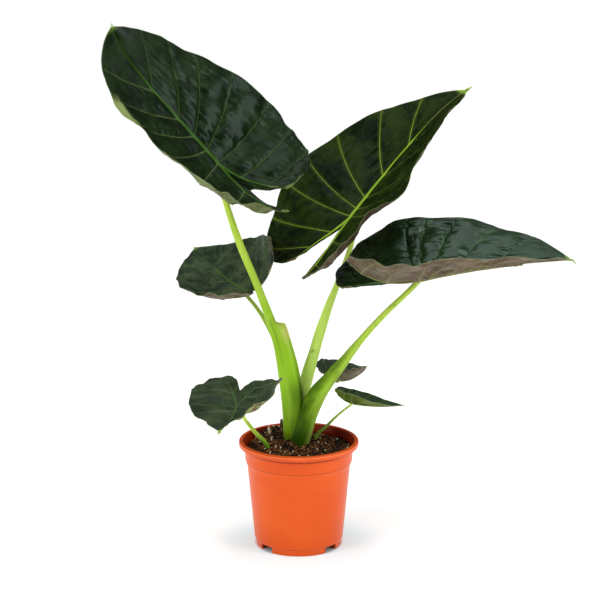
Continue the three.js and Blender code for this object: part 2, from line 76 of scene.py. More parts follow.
# Seven leaves. Sizes are in millimetres, angles in degrees, and half_width, lobes, laterals, sinus and hub
# in parts of the length. Pairs are [left, right], seen from the stalk with the upper face up.
#   junction              where the stalk meets the blade
#   length, half_width    from the stalk to the tip, and from the midrib to the margin at its widest
#   tip_fullness, lobes   how full the outline is near the tip, and how far each lobe reaches back
#   heading, climb, roll  which way the blade points and leans
#   arch, tip_arch        how the midrib bends up, all along and near the tip
#   sway, twist           how the blade turns to the left, and about its midrib
#   lobe_pitch            how each lobe bends up
#   fold, curl            how each half stands up and curves: [at the lobe, at the stalk, at the tip]
#   size                  how finely it is meshed
#   laterals, sinus       where the side veins reach the margin, and the bottom of the notch
#   hub, rib_spread       how far in front of the stalk the veins meet, and how wide the lobe ribs spread
#   quilt                 height of the panels between the veins
#   wave, waves, phase    height and number of the waves along the margin, and where they start in radians
#   pucker, crease        height of the dents between the veins and of the wrinkles beside them
#   frill, scallop        how crisp and how uneven the margin is
#   tail                  length, droop and girth of the drip tip
#   flap                  a stretch of one margin that is rolled under: where, how wide and how far out
LEAVES = {
    1: dict(
        junction=[-114, 21, 555], length=273, half_width=0.48, tip_fullness=0.29, lobes=[0.59, 0.4],
        heading=182, climb=49, roll=-47, arch=30, tip_arch=45, sway=25, twist=-28, lobe_pitch=[65, 62],
        fold=[[1, 5, 15], [24, 8, -25]], curl=[[60, 68, 85], [-27, 1, -26]],
        size="large", laterals=[0.8, 0.65, 0.5, 0.3], sinus=0.22,
        quilt=4.4, wave=2.4, waves=2.4, phase=0.4, pucker=2.8, crease=2.4,
        frill=[0.4, 0.5], scallop=1.6, tail=[4, -60, 1.6],
        flap=dict(side=0, at=0.45, width=0.085, reach=5.5),
    ),
    2: dict(
        junction=[76.5, 92, 467.5], length=262, half_width=0.53, tip_fullness=0.21, lobes=[0.4, 0.59],
        heading=38, climb=42, roll=12, arch=15, tip_arch=-24, sway=-17, twist=35, lobe_pitch=[19, 23],
        fold=[[0, 13, 3], [-17, 25, 50]], curl=[[-25, -17, -39], [85, 22, 72]],
        size="large", laterals=[0.82, 0.65, 0.42, 0.22], sinus=0.08,
        quilt=1.9, wave=2.6, waves=2.2, phase=2.1, pucker=1.1, crease=2.4,
        frill=[0.3, 0.7], scallop=1.0, tail=[8, 0, 2.8],
    ),
    3: dict(
        junction=[167, -22, 396.5], length=228, half_width=0.49, tip_fullness=0.32, lobes=[0.49, 0.56],
        heading=4, climb=12, roll=8, arch=-19, tip_arch=7, sway=13, twist=3, lobe_pitch=[-1, 57],
        fold=[[6, 31, 40], [13, 16, 32]], curl=[[13, 3, -47], [32, 31, -9]],
        size="large", laterals=[0.78, 0.57, 0.34, 0.16], sinus=0.08,
        quilt=4.4, wave=2.2, waves=2.6, phase=4.0, pucker=2.8, crease=4.4,
        frill=[0.5, 0.0], scallop=1.0, tail=[9, 90, 1.9],
    ),
    4: dict(
        junction=[-84, -84, 240], length=148, half_width=0.46, tip_fullness=0.2, lobes=[0.41, 0.53],
        heading=-95, climb=-17, roll=7, arch=40, tip_arch=-20, sway=-1, twist=8, lobe_pitch=[-1, -13],
        fold=[[-27, -23, 22], [0, 12, 17]], curl=[[48, 83, 44], [-8, -5, 24]],
        size="small", laterals=[0.7, 0.42], sinus=0.155, hub=0.15, rib_spread=0.5,
        quilt=2.0, wave=1.6, waves=2.2, phase=1.2, pucker=1.6, crease=1.2,
        frill=[0.7, 0.6], scallop=1.2, tail=[8, 20, 2.6],
    ),
    5: dict(
        junction=[76, -19, 216], length=74, half_width=0.47, tip_fullness=0.21, lobes=[0.46, 0.44],
        heading=-11, climb=-9, roll=-13, arch=20, tip_arch=-4, sway=1, twist=4, lobe_pitch=[60, 55],
        fold=[[19, 24, 22], [17, 19, 9]], curl=[[12, 13, 8], [5, 10, 4]],
        size="small", laterals=[0.66, 0.34], sinus=0.08,
        quilt=0.6, wave=0.5, waves=2.0, phase=0.0, pucker=0.5, crease=1.2,
        frill=[0.3, 0.3], scallop=1.0, tail=[2, 10, 1.0],
    ),
    6: dict(
        junction=[61, 65, 227], length=81, half_width=0.49, tip_fullness=0.24, lobes=[0.55, 0.43],
        heading=56, climb=-16, roll=10, arch=33, tip_arch=7, sway=11, twist=-2, lobe_pitch=[7, 34],
        fold=[[17, 26, 48], [25, 37, 47]], curl=[[20, 18, 32], [30, 24, 27]],
        size="small", laterals=[0.66, 0.34], sinus=0.08,
        quilt=0.7, wave=1.2, waves=2.5, phase=2.0, pucker=0.9, crease=2.2,
        frill=[0.8, 0.8], scallop=1.6, tail=[3, 20, 1.0],
    ),
    7: dict(
        junction=[-84, 100, 357], length=193, half_width=0.47, tip_fullness=0.31, lobes=[0.48, 0.52],
        heading=114, climb=2, roll=-14, arch=14, tip_arch=3, sway=-1, twist=-2, lobe_pitch=[28, 41],
        fold=[[3, -4, 5], [23, 17, 17]], curl=[[30, 45, 17], [81, 60, 15]],
        size="large", laterals=[0.8, 0.6, 0.4, 0.2], sinus=0.24,
        quilt=1.4, wave=1.8, waves=2.3, phase=5.0, pucker=1.7, crease=3.4,
        frill=[0.6, 0.4], scallop=1.6, tail=[4, 20, 1.4],
    ),
}

# Stalks from the soil up: path is [x, y, z, radius]. The channel side of a stalk faces inward. Its sheath is
# the pair of edges beside the channel, given as [z, how far they stand out], and a furrow of [z, depth] runs
# between the stalk and its sheath, with painted shade along it. The marks are [z, height, turn from the
# channel
# in radians, width in radians, strength]: dry and scar are the skin's own, shade is painted shade in creases
# and where the stalks shade each other, and the lightening marks are painted light on lit edges and shaded
# bases.
STALKS = {
    1: dict(
        inward=[1, -0.25, 0.3],
        path=[
            [-11, 15, 158, 11], [-14, 14, 205, 10.5], [-20, 13, 249, 9.5], [-28, 14, 293, 8.5],
            [-39, 16, 325, 7], [-58, 18, 376, 5.6], [-84, 21, 440, 5.3], [-103, 24, 498, 4.3],
            [-111, 24, 530, 4.2],
        ],
        sheath=[[165, 1], [192, 9], [212, 12], [249, 12.5], [293, 10], [317, 11.5], [325, 0]],
        furrow=[[180, 0], [225, 0.2], [280, 0.5], [315, 1], [326, 1], [334, 0]],
        painted_light=[[240, 90, 3.0, 0.55, 0.6], [200, 50, 1.2, 0.3, 0.25]],
        dry=[[312, 13, 0.3, 0.3, 1.0]],
        shade=[[220, 26, 0.2, 0.95, 0.9], [329, 7, 0.5, 0.5, 0.5]],
    ),
    2: dict(
        inward=[-1, -0.6, 0.2],
        path=[
            [4, 29, 158, 7.5], [5, 29, 190, 8], [7, 30, 217, 9], [13, 34, 244, 9.2], [24, 42, 280, 7.6],
            [32, 49, 305, 7], [44, 59, 341, 5.9], [53, 66, 363, 4.8], [70, 80, 406, 4.1], [79, 88, 438, 3.8],
        ],
        sheath=[[270, 0], [300, 1], [345, 0]],
        scar=[[279, 1.8, 0.6, 0.3, 0.9]],
        shade=[[200, 15, 1.5, 4.0, 1.0]],
    ),
    3: dict(
        inward=[-1, 0, 1],
        path=[
            [2, 3, 150, 13.2], [7, 2, 168, 13], [16, 1, 195, 11.8], [33, -1, 227, 8.8], [61, -5, 267, 6.3],
            [92, -10, 311, 4.8], [126, -14, 350, 4.2], [148, -17, 372, 3.9],
        ],
        sheath=[[160, 1], [195, 5], [222, 8], [250, 5], [285, 2], [308, 0]],
        shade=[
            [176, 32, 1.3, 0.7, 0.6], [205, 26, 0.7, 0.7, 0.9],
            [240, 34, 0.4, 0.7, 1.0], [268, 26, 0.6, 0.5, 0.9],
        ],
        painted_light=[[172, 50, 2.6, 0.45, 0.6], [260, 60, 2.6, 0.8, 0.7]],
    ),
    4: dict(
        inward=[0.3, 0.5, 1],
        path=[[-45, -7, 146, 3.3], [-63, -20, 173, 2.9], [-77, -40, 199, 2.5], [-82, -62, 219, 2.3]],
        sheath=[],
    ),
    5: dict(
        inward=[-0.5, 0.5, 1],
        painted_light=[[162, 26, 1.5, 3.0, 0.9]],
        path=[[25, 29, 150, 2.9], [42, 18, 172, 2.2], [57, 3, 192, 1.7]],
        sheath=[],
    ),
    6: dict(
        inward=[-1, -1, 1],
        path=[[16, 36, 152, 3.2], [23, 46, 188, 2.7], [35, 62, 208, 2.3], [49, 74, 222, 2.0]],
        sheath=[],
    ),
    7: dict(
        inward=[1, -0.5, 0.5],
        path=[
            [-12, 40, 154, 5], [-18, 51, 235, 4.2], [-34, 62, 285, 3.6], [-52, 74, 319, 3.1],
            [-65, 84, 336, 2.8],
        ],
        sheath=[],
    ),
}

# What each leaf is coloured, 0 to 255: the deep and the lighter green of the upper face, its veins on the
# left and on the right, its midrib, the underside, the blotches on it, and the rolled flap. Then, 0 to 1,
# how bright the drip tip is, and how shiny and how rough the upper face.
LEAF_COLOURS = {
    1: dict(
        deep=(10, 25, 6), light=(28, 46, 16), veins=[(92, 108, 62), (60, 84, 30)], rib=(60, 98, 24),
        under=(104, 116, 66), blotch=(78, 86, 48), flap=(140, 156, 92), tip=0.3, shine=0.2, rough=0.23,
    ),
    2: dict(
        deep=(7, 20, 1), light=(38, 52, 12), veins=[(132, 160, 52), (92, 112, 44)], rib=(146, 184, 50),
        under=(92, 76, 58), blotch=(64, 50, 40), tip=1.0, shine=0.1, rough=0.3,
    ),
    3: dict(
        deep=(12, 32, 12), light=(32, 58, 26), veins=[(48, 88, 30), (96, 100, 54)], rib=(76, 108, 44),
        under=(106, 92, 70), blotch=(80, 66, 52), tip=0.6, shine=0.55, rough=0.25,
    ),
    4: dict(
        deep=(24, 40, 22), light=(62, 76, 48), veins=[(74, 100, 54), (74, 100, 54)], rib=(68, 96, 48),
        under=(136, 148, 88), blotch=(80, 58, 54), tip=0.6, shine=0.5, rough=0.36,
    ),
    5: dict(
        deep=(34, 52, 28), light=(52, 72, 42), veins=[(84, 118, 52), (84, 118, 52)], rib=(98, 132, 60),
        under=(86, 106, 24), blotch=(60, 78, 14), tip=0.3, shine=0.4, rough=0.34,
    ),
    6: dict(
        deep=(40, 56, 40), light=(66, 82, 56), veins=[(82, 108, 60), (82, 108, 60)], rib=(86, 114, 56),
        under=(104, 92, 74), blotch=(78, 66, 54), tip=0.2, shine=0.45, rough=0.34,
    ),
    7: dict(
        deep=(24, 40, 24), light=(70, 84, 56), veins=[(66, 92, 50), (66, 92, 50)], rib=(66, 94, 36),
        under=(112, 102, 78), blotch=(86, 76, 60), tip=0.3, shine=0.2, rough=0.42,
    ),
}

# The stalks' tones from the soil up to the blade. The lowest tones carry painted light and shade: those of
# stalks
# 1 and 2 are lighter, to offset the shade that the stalks round them cast, and that of stalk 3 is its own
# deep green, painted darker still for the shade on its base.
STALK_COLOURS = {
    1: [(140, 190, 30), (138, 186, 34), (180, 208, 76)],
    2: [(206, 255, 112), (206, 240, 112), (188, 216, 94)],
    3: [(34, 78, 0), (142, 190, 30), (174, 202, 74)],
    4: [(108, 166, 24), (190, 222, 80), (206, 232, 108)],
    5: [(170, 212, 66), (190, 222, 96), (190, 220, 100)],
    6: [(100, 150, 26), (140, 180, 56), (150, 186, 66)],
    7: [(130, 170, 36), (160, 192, 66), (160, 192, 70)],
}

# ------------------------------------------------------------------------------------------- numbers


def mix(a, b, t):
    """From a to b as t goes from 0 to 1."""
    return a + (b - a) * t


def smooth(t):
    """From 0 to 1 as t does, level at both ends."""
    t = np.clip(t, 0, 1)
    return t * t * (3 - 2 * t)


def sinc(angle):
    """sin(angle) / angle, which is 1 where the angle is nought."""
    return np.sinc(np.asarray(angle) / np.pi)


def bell(x, middle, width):
    """A hump one unit high."""
    return np.exp(-(((x - middle) / width) ** 2))


def unit(vector):
    """The same directions, one unit long."""
    vector = np.asarray(vector, float)
    return vector / np.linalg.norm(vector, axis=-1, keepdims=True)


def along(steps, at):
    """A value read off a list of [position, value] steps, smoothed between them."""
    at = np.asarray(at, float)
    value = np.zeros_like(at)
    if not steps:
        return value
    value[...] = steps[0][1]
    for (a, before), (b, after) in zip(steps, steps[1:]):
        value = np.where(at > a, mix(before, after, smooth((at - a) / (b - a))), value)
    return value


def hills(x, y, seed):
    """Smooth random hills between -1 and 1, one unit apart."""
    count = 64
    table = np.random.default_rng(seed).uniform(-1.0, 1.0, (count, count))
    column = np.floor(x).astype(int)
    row = np.floor(y).astype(int)
    across = smooth(x - column)
    upward = smooth(y - row)

    def corner(i, j):
        return table[(column + i) % count, (row + j) % count]

    low = mix(corner(0, 0), corner(1, 0), across)
    high = mix(corner(0, 1), corner(1, 1), across)
    return mix(low, high, upward)


# ------------------------------------------------------------------------------------ meshes and pieces


def in_frame(points):
    """Millimetres about the pot's axis to metres in the frame."""
    return np.asarray(points, float) * MM + POT_AXIS


def normals_of(points, faces):
    """Smooth normals of a mesh of triangles and quads, at its points."""
    normals = np.zeros_like(points)
    for size in (3, 4):
        some = np.array([face for face in faces if len(face) == size], int)
        if len(some) == 0:
            continue
        diagonal = points[some[:, 2]] - points[some[:, 0]]
        other = points[some[:, -1]] - points[some[:, 1]]
        cross = np.cross(diagonal, other)
        for corner in range(size):
            np.add.at(normals, some[:, corner], cross)
    return unit(normals + 1e-12)


def make_mesh(name, points, faces, corner_uv=None, values=None, face_finish=None):
    """A smooth-shaded mesh in the frame. values are named numbers for each point."""
    mesh = bpy.data.meshes.new(name)
    mesh.from_pydata(in_frame(points).tolist(), [], faces)
    for key, numbers in (values or {}).items():
        layer = mesh.attributes.new(key, "FLOAT", "POINT")
        layer.data.foreach_set("value", np.asarray(numbers, np.float32))
    if corner_uv is not None:
        layer = mesh.uv_layers.new(name="surface")
        layer.data.foreach_set("uv", np.asarray(corner_uv, np.float32).ravel())
    if face_finish is not None:
        mesh.polygons.foreach_set("material_index", np.asarray(face_finish, np.int32))
    mesh.shade_smooth()
    mesh.validate(clean_customdata=False)
    return mesh


def add_piece(name, mesh, finishes, stands_for=()):
    """Put a finished mesh in the scene as a piece of the plant."""
    piece = bpy.data.objects.new(name, mesh)
    bpy.context.scene.collection.objects.link(piece)
    for finish in finishes:
        mesh.materials.append(finish)
    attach(piece, "root")
    if stands_for:
        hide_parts(*stands_for)
    return piece


def circle_angles(sides):
    """Angles evenly spaced round a circle."""
    return 2 * np.pi * np.arange(sides) / sides


def ring_faces(rings, sides):
    """Quads between rings of points that follow each other in one list."""
    faces = []
    for i in range(rings - 1):
        for j in range(sides):
            k = (j + 1) % sides
            faces.append((i * sides + j, i * sides + k, (i + 1) * sides + k, (i + 1) * sides + j))
    return faces


def fan_caps(sides, last, low, high):
    """Triangles that close rings of points: the first ring to point low, and the last one to point high."""
    faces = []
    for j in range(sides):
        k = (j + 1) % sides
        faces.append((low, k, j))
        faces.append((high, last + j, last + k))
    return faces


# -------------------------------------------------------------------------------------- node trees


class Nodes:
    """Makes nodes in self.tree. An input is a plain value or another node's output."""

    def node(self, kind, inputs=None, **settings):
        node = self.tree.nodes.new(kind)
        for key, value in settings.items():
            setattr(node, key, value)
        for key, value in (inputs or {}).items():
            if isinstance(value, bpy.types.NodeSocket):
                self.tree.links.new(value, node.inputs[key])
            else:
                node.inputs[key].default_value = value
        return node

    def out(self, kind, inputs=None, output=0, **settings):
        """One output of a new node."""
        return self.node(kind, inputs, **settings).outputs[output]

    def math(self, operation, *values):
        """One sum of values."""
        return self.out("ShaderNodeMath", dict(enumerate(values)), operation=operation)


class Tree(Nodes):
    """Nodes that make geometry from a mesh and from inputs that have names."""

    def __init__(self, name, inputs):
        self.tree = bpy.data.node_groups.new(name, "GeometryNodeTree")
        sockets = self.tree.interface
        sockets.new_socket(name="Geometry", in_out="INPUT", socket_type="NodeSocketGeometry")
        self.identifiers = {}
        for label, kind in inputs.items():
            socket = sockets.new_socket(name=label, in_out="INPUT", socket_type="NodeSocket" + kind)
            self.identifiers[label] = socket.identifier
        sockets.new_socket(name="Geometry", in_out="OUTPUT", socket_type="NodeSocketGeometry")
        self.given = self.tree.nodes.new("NodeGroupInput").outputs

    def end_in(self, geometry):
        """End in real geometry with the tree's Material input on it."""
        real = self.out("GeometryNodeRealizeInstances", {"Geometry": geometry})
        coloured = self.out("GeometryNodeSetMaterial", {"Geometry": real, "Material": self.given["Material"]})
        self.node("NodeGroupOutput", {0: coloured})

    def strewn_spots(self):
        """Points strewn over the given surface, so many to the square metre."""
        return self.out("GeometryNodeDistributePointsOnFaces", {
            "Mesh": self.given["Geometry"], "Density": self.given["Density"], "Seed": self.given["Seed"],
        }, "Points", distribute_method="RANDOM")

    def random_size(self, smallest, largest):
        """A number of its own for every piece."""
        return self.out("FunctionNodeRandomValue", {
            2: smallest, 3: largest, "Seed": self.given["Seed"],
        }, 1, data_type="FLOAT")

    def random_turn(self, most):
        """A turn about x, y and z, each at most so far either way."""
        least = tuple(-angle for angle in most)
        angles = self.out("FunctionNodeRandomValue", {
            0: least, 1: most, "Seed": self.given["Seed"],
        }, 0, data_type="FLOAT_VECTOR")
        return self.out("FunctionNodeEulerToRotation", {"Euler": angles})

    def grow(self, mesh, **values):
        """Run the tree on a mesh and give back the result as a plain mesh."""
        holder = bpy.data.objects.new(mesh.name, mesh)
        bpy.context.scene.collection.objects.link(holder)
        modifier = holder.modifiers.new(self.tree.name, "NODES")
        modifier.node_group = self.tree
        for label, value in values.items():
            modifier[self.identifiers[label.replace("_", " ")]] = value
        evaluated = holder.evaluated_get(bpy.context.evaluated_depsgraph_get())
        grown = bpy.data.meshes.new_from_object(evaluated)
        holder.modifiers.remove(modifier)
        bpy.data.objects.remove(holder)
        return grown


# ------------------------------------------------------------------------------------------ finishes


def rgb(red, green, blue):
    """A colour from 0 to 255 as the shader takes it."""
    def linear(value):
        value /= 255
        return value / 12.92 if value <= 0.04045 else ((value + 0.055) / 1.055) ** 2.4

    return (linear(red), linear(green), linear(blue), 1.0)


class Finish(Nodes):
    """A procedural material, built from its nodes."""

    def __init__(self, name, **sockets):
        self.material = bpy.data.materials.new(name)
        self.material.use_nodes = True
        self.tree = self.material.node_tree
        self.shader = self.tree.nodes["Principled BSDF"]
        for key, value in sockets.items():
            self.shader.inputs[key.replace("_", " ")].default_value = value
        self.place = self.out("ShaderNodeTexCoord", output="Object")

    def number(self, name):
        """One of the named numbers that the mesh carries."""
        return self.out("ShaderNodeAttribute", output="Fac", attribute_name=name)

    def noise(self, vector, scale, detail=3.0, roughness=0.5, distortion=0.0):
        """Soft random patches, scale to the unit."""
        return self.out("ShaderNodeTexNoise", {
            "Vector": vector, "Scale": scale, "Detail": detail, "Roughness": roughness,
            "Distortion": distortion,
        }, "Fac")

    def stretched(self, vector, scale):
        """Coordinates with a scale of their own in each direction."""
        return self.out("ShaderNodeMapping", {"Vector": vector, "Scale": scale}, "Vector")

    def grain(self, scale, detail, roughness, distortion=0.0):
        """Noise that runs along the piece's own surface map."""
        surface = self.out("ShaderNodeUVMap", output="UV", uv_map="surface")
        return self.noise(self.stretched(surface, scale), 1.0, detail, roughness, distortion)

    def reshape(self, value, low, high, to_low=0.0, to_high=1.0):
        """Smoothly carry the range low..high of a value to another range."""
        return self.out("ShaderNodeMapRange", {
            "Value": value, "From Min": low, "From Max": high, "To Min": to_low, "To Max": to_high,
        }, "Result", interpolation_type="SMOOTHSTEP")

    def blend(self, part, a, b):
        """Colour a where part is 0, and b where it is 1."""
        return self.out("ShaderNodeMix", {0: part, 6: a, 7: b}, 2, data_type="RGBA", blend_type="MIX")

    def painted(self, tone, coats):
        """Coats of colour over a tone, each [number, where it starts, where it is full, strength, colour]."""
        for name, start, full, strength, colour in coats:
            tone = self.blend(self.reshape(self.number(name), start, full, 0.0, strength), tone, colour)
        return tone

    def stained(self, tone, stains):
        """Marks over a tone, each [the number that says how much of it there is, strength, colour]."""
        for name, strength, colour in stains:
            tone = self.blend(self.math("MULTIPLY", self.number(name), strength), tone, rgb(*colour))
        return tone

    def relief(self, height, depth, over=None):
        """A bump of the given depth in metres, over another one."""
        inputs = {"Height": height, "Distance": depth, "Strength": 1.0}
        if over is not None:
            inputs["Normal"] = over
        return self.out("ShaderNodeBump", inputs, "Normal")

    def use(self, **outputs):
        """Give the shader what its sockets take, and hand over the material."""
        for key, output in outputs.items():
            self.tree.links.new(output, self.shader.inputs[key.replace("_", " ")])
        return self.material


def upper_finish(key, colours):
    """The dark glossy upper face: mottled green, pale veins with creases beside them, and a pale margin."""
    finish = Finish("leaf_upper_%d" % key, IOR=1.45, Specular_IOR_Level=colours["shine"])
    finish.shader.inputs["Specular Tint"].default_value = (0.78, 1.0, 0.94, 1.0)
    deep = rgb(*colours["deep"])
    light = rgb(*colours["light"])
    mottle = finish.noise(finish.place, 30.0, 5.0, 0.62, 0.4)
    green = finish.blend(finish.reshape(mottle, 0.36, 0.68), deep, light)
    nerves = finish.grain((7.0, 0.9, 1.0), 4.0, 0.6, 0.2)
    green = finish.blend(finish.reshape(nerves, 0.52, 0.74, 0.0, 0.5), green, light)
    left, right = colours["veins"]
    vein = finish.blend(finish.number("half"), rgb(*left), rgb(*right))
    green = finish.painted(green, [
        ["near", 5.0, 0.5, 0.1, vein],
        ["vein", 1.3, 0.7, 0.9, vein],
        ["rib", 1.25, 0.8, 1.0, rgb(*colours["rib"])],
        ["edge", 1.3, 0.4, 0.5, rgb(112, 126, 80)],
    ])
    green = finish.blend(finish.number("flap"), green, rgb(*colours.get("flap", colours["under"])))
    green = finish.painted(green, [["tip", 0.94, 0.98, colours["tip"], rgb(138, 178, 62)]])

    # the gloss is duller towards the tip
    rough = colours["rough"]
    gloss = finish.reshape(finish.noise(finish.place, 60.0, 4.0, 0.6), 0.3, 0.7, rough, rough + 0.08)
    gloss = finish.math("ADD", gloss, finish.reshape(finish.number("tip"), 0.35, 0.85, 0.0, 0.16))

    blisters = finish.noise(finish.place, 75.0, 2.0, 0.5, 0.3)
    creases = finish.grain((1.8, 13.0, 1.0), 3.0, 0.55, 0.5)
    beside = finish.reshape(finish.number("near"), 11.0, 1.0)
    normal = finish.relief(blisters, 0.0006)
    normal = finish.relief(finish.math("MULTIPLY", creases, beside), 0.001, normal)
    normal = finish.relief(nerves, 0.00022, normal)
    return finish.use(Base_Color=green, Roughness=gloss, Normal=normal)


def under_finish(key, colours):
    """The dull underside: paler, blotched, with pale nerves."""
    finish = Finish("leaf_under_%d" % key, IOR=1.38, Specular_IOR_Level=0.3)
    under = colours["under"]
    pale = rgb(*[mix(a, b, 0.5) for a, b in zip(under, (140, 150, 80))])
    blotches = finish.noise(finish.place, 45.0, 5.0, 0.62, 0.6)
    tone = finish.blend(finish.reshape(blotches, 0.4, 0.62), rgb(*under), rgb(*colours["blotch"]))
    nerves = finish.grain((30.0, 3.0, 1.0), 3.0, 0.55, 0.3)
    tone = finish.blend(finish.reshape(nerves, 0.5, 0.75, 0.0, 0.35), tone, rgb(*[c + 26 for c in under]))
    tone = finish.painted(tone, [
        ["near", 3.0, 0.5, 0.25, pale],
        ["rib", 2.0, 0.8, 0.7, pale],
        ["edge", 1.8, 0.4, 0.6, rgb(140, 146, 96)],
        ["tip", 0.94, 0.99, colours["tip"], rgb(140, 178, 70)],
    ])
    dull = finish.reshape(blotches, 0.3, 0.7, 0.52, 0.66)
    normal = finish.relief(finish.grain((12.0, 16.0, 1.0), 4.0, 0.6), 0.0009)
    normal = finish.relief(nerves, 0.0003, normal)
    return finish.use(Base_Color=tone, Roughness=dull, Normal=normal)


def rib_finish(key, colours):
    """Raised ribs on the underside, waxy, between its tone and green; the drip tip beyond them is greener."""
    finish = Finish("leaf_rib_%d" % key, Roughness=0.45, IOR=1.4, Specular_IOR_Level=0.3)
    wax = finish.noise(finish.place, 120.0, 3.0)
    dull = rgb(*[mix(a, b, 0.45) for a, b in zip(colours["under"], (126, 144, 62))])
    clear = rgb(*[mix(a, b, 0.65) for a, b in zip(colours["under"], (142, 162, 80))])
    tone = finish.blend(finish.reshape(wax, 0.35, 0.7), dull, clear)
    tone = finish.blend(finish.number("drip"), tone, rgb(140, 172, 70))
    return finish.use(Base_Color=tone, Normal=finish.relief(wax, 0.0002))


def stalk_finish(key):
    """Fleshy stalk: deep green at the soil, lime higher up, with pale and dark streaks along it."""
    low, middle, high = [rgb(*colour) for colour in STALK_COLOURS[key]]
    sockets = dict(IOR=1.4, Specular_IOR_Level=0.1, Subsurface_Weight=0.06, Subsurface_Scale=0.003)
    finish = Finish("stalk_skin_%d" % key, **sockets)
    finish.shader.inputs["Subsurface Radius"].default_value = (0.6, 1.0, 0.2)
    rise = finish.number("rise")
    tone = finish.blend(finish.reshape(rise, 0.0, 0.25), low, middle)
    tone = finish.blend(finish.reshape(rise, 0.2, 0.8), tone, high)

    streaks = finish.grain((22.0, 0.8, 1.0), 4.0, 0.6)
    higher = finish.reshape(rise, 0.0, 0.3, 0.25, 1.0)
    pale = finish.math("MULTIPLY", finish.reshape(streaks, 0.5, 0.72, 0.0, 0.55), higher)
    tone = finish.blend(pale, tone, rgb(190, 218, 112))
    tone = finish.blend(finish.reshape(streaks, 0.5, 0.3, 0.0, 0.6), tone, low)
    mottle = finish.noise(finish.place, 60.0, 4.0, 0.6)
    tone = finish.blend(finish.reshape(mottle, 0.5, 0.72, 0.0, 0.4), tone, low)
    # painted shade and painted light from the marks, then the skin's own dry tan and brown scar
    tone = finish.stained(tone, [
        ["shade", 0.85, (44, 78, 6)],
        ["painted_light", 0.8, (190, 220, 98)],
        ["dry", 0.9, (204, 198, 116)],
        ["scar", 1.0, (104, 66, 26)],
    ])
    scars = finish.reshape(finish.noise(finish.place, 190.0, 2.0, 0.4), 0.74, 0.8, 0.0, 0.55)
    tone = finish.blend(scars, tone, rgb(126, 116, 60))

    # the lowest part, just above the soil, is darker
    ragged = finish.math("ADD", rise, finish.math("MULTIPLY", mottle, 0.03))
    tone = finish.blend(finish.reshape(ragged, 0.035, 0.01, 0.0, 0.5), tone, rgb(70, 78, 28))
    gloss = finish.reshape(mottle, 0.3, 0.7, 0.34, 0.48)
    return finish.use(Base_Color=tone, Roughness=gloss, Normal=finish.relief(streaks, 0.0008))


def pot_finish():
    """Satin moulded plastic with grain and dust, painted shade inside and under each step, and a painted lip
    highlight.
    """
    sockets = dict(IOR=1.46, Specular_IOR_Level=0.22, Subsurface_Weight=0.04, Subsurface_Scale=0.003)
    finish = Finish("pot_plastic", **sockets)
    finish.shader.inputs["Subsurface Radius"].default_value = (1.0, 0.25, 0.08)
    cloud = finish.noise(finish.place, 14.0, 3.0, 0.5, 0.4)
    tone = finish.blend(finish.reshape(cloud, 0.3, 0.7), rgb(222, 84, 18), rgb(229, 92, 23))
    rings = finish.noise(finish.stretched(finish.place, (6.0, 6.0, 420.0)), 1.0, 2.0, 0.5)
    tone = finish.blend(finish.reshape(rings, 0.35, 0.7, 0.0, 0.06), tone, rgb(210, 74, 28))
    dust = finish.reshape(finish.noise(finish.place, 330.0, 5.0, 0.7), 0.64, 0.8, 0.0, 0.16)
    tone = finish.blend(dust, tone, rgb(240, 150, 108))

    # height above the foot and distance from the pot's axis, in millimetres
    apart = finish.node("ShaderNodeSeparateXYZ", {"Vector": finish.place}).outputs
    x = finish.math("SUBTRACT", apart["X"], float(POT_AXIS[0]))
    y = finish.math("SUBTRACT", apart["Y"], float(POT_AXIS[1]))
    height = finish.math("MULTIPLY", apart["Z"], 1000.0)
    squares = finish.math("ADD", finish.math("MULTIPLY", x, x), finish.math("MULTIPLY", y, y))
    radius = finish.math("MULTIPLY", finish.math("SQRT", squares), 1000.0)

    def near_height(level, width, strength):
        """Full strength at a height, down to nothing at a distance above and below it."""
        away = finish.math("ABSOLUTE", finish.math("SUBTRACT", height, level))
        return finish.reshape(away, width, 0.0, 0.0, strength)

    # painted shade: the inner face of the collar, which leans outwards, and that of the lip are darker, where
    # the pot shades its own inside
    leaning = finish.math("MULTIPLY", finish.math("SUBTRACT", height, 127.0), 0.054)
    collar = finish.reshape(finish.math("SUBTRACT", radius, leaning), 77.6, 77.0)
    collar = finish.math("MULTIPLY", collar, finish.reshape(height, 130.0, 132.0))
    lip = finish.math("MULTIPLY", finish.reshape(radius, 81.2, 80.4), finish.reshape(height, 147.4, 148.4))
    inside = finish.math("MAXIMUM", collar, lip)
    tone = finish.blend(finish.math("MULTIPLY", inside, 0.9), tone, rgb(140, 34, 11))

    # painted shade: dark lines under the collar, under the lip, at its lower edge and above the foot, where
    # the steps shade the wall
    for line in ((126.4, 0.9, 0.65), (144.6, 1.7, 0.8), (149.0, 1.4, 0.4), (9.5, 0.9, 0.35)):
        tone = finish.blend(near_height(*line), tone, rgb(120, 30, 10))

    # a painted highlight: a pale line round the outside of the lip, where it catches the light
    painted_lip_highlight = finish.math("MULTIPLY", near_height(153.6, 1.0, 0.45), finish.reshape(radius, 85.6, 86.4))
    tone = finish.blend(painted_lip_highlight, tone, rgb(252, 164, 120))
    gloss = finish.reshape(cloud, 0.3, 0.7, 0.3, 0.38)
    normal = finish.relief(finish.noise(finish.place, 700.0, 3.0, 0.6), 0.00005)
    normal = finish.relief(rings, 0.00004, normal)
    return finish.use(Base_Color=tone, Roughness=gloss, Normal=normal)


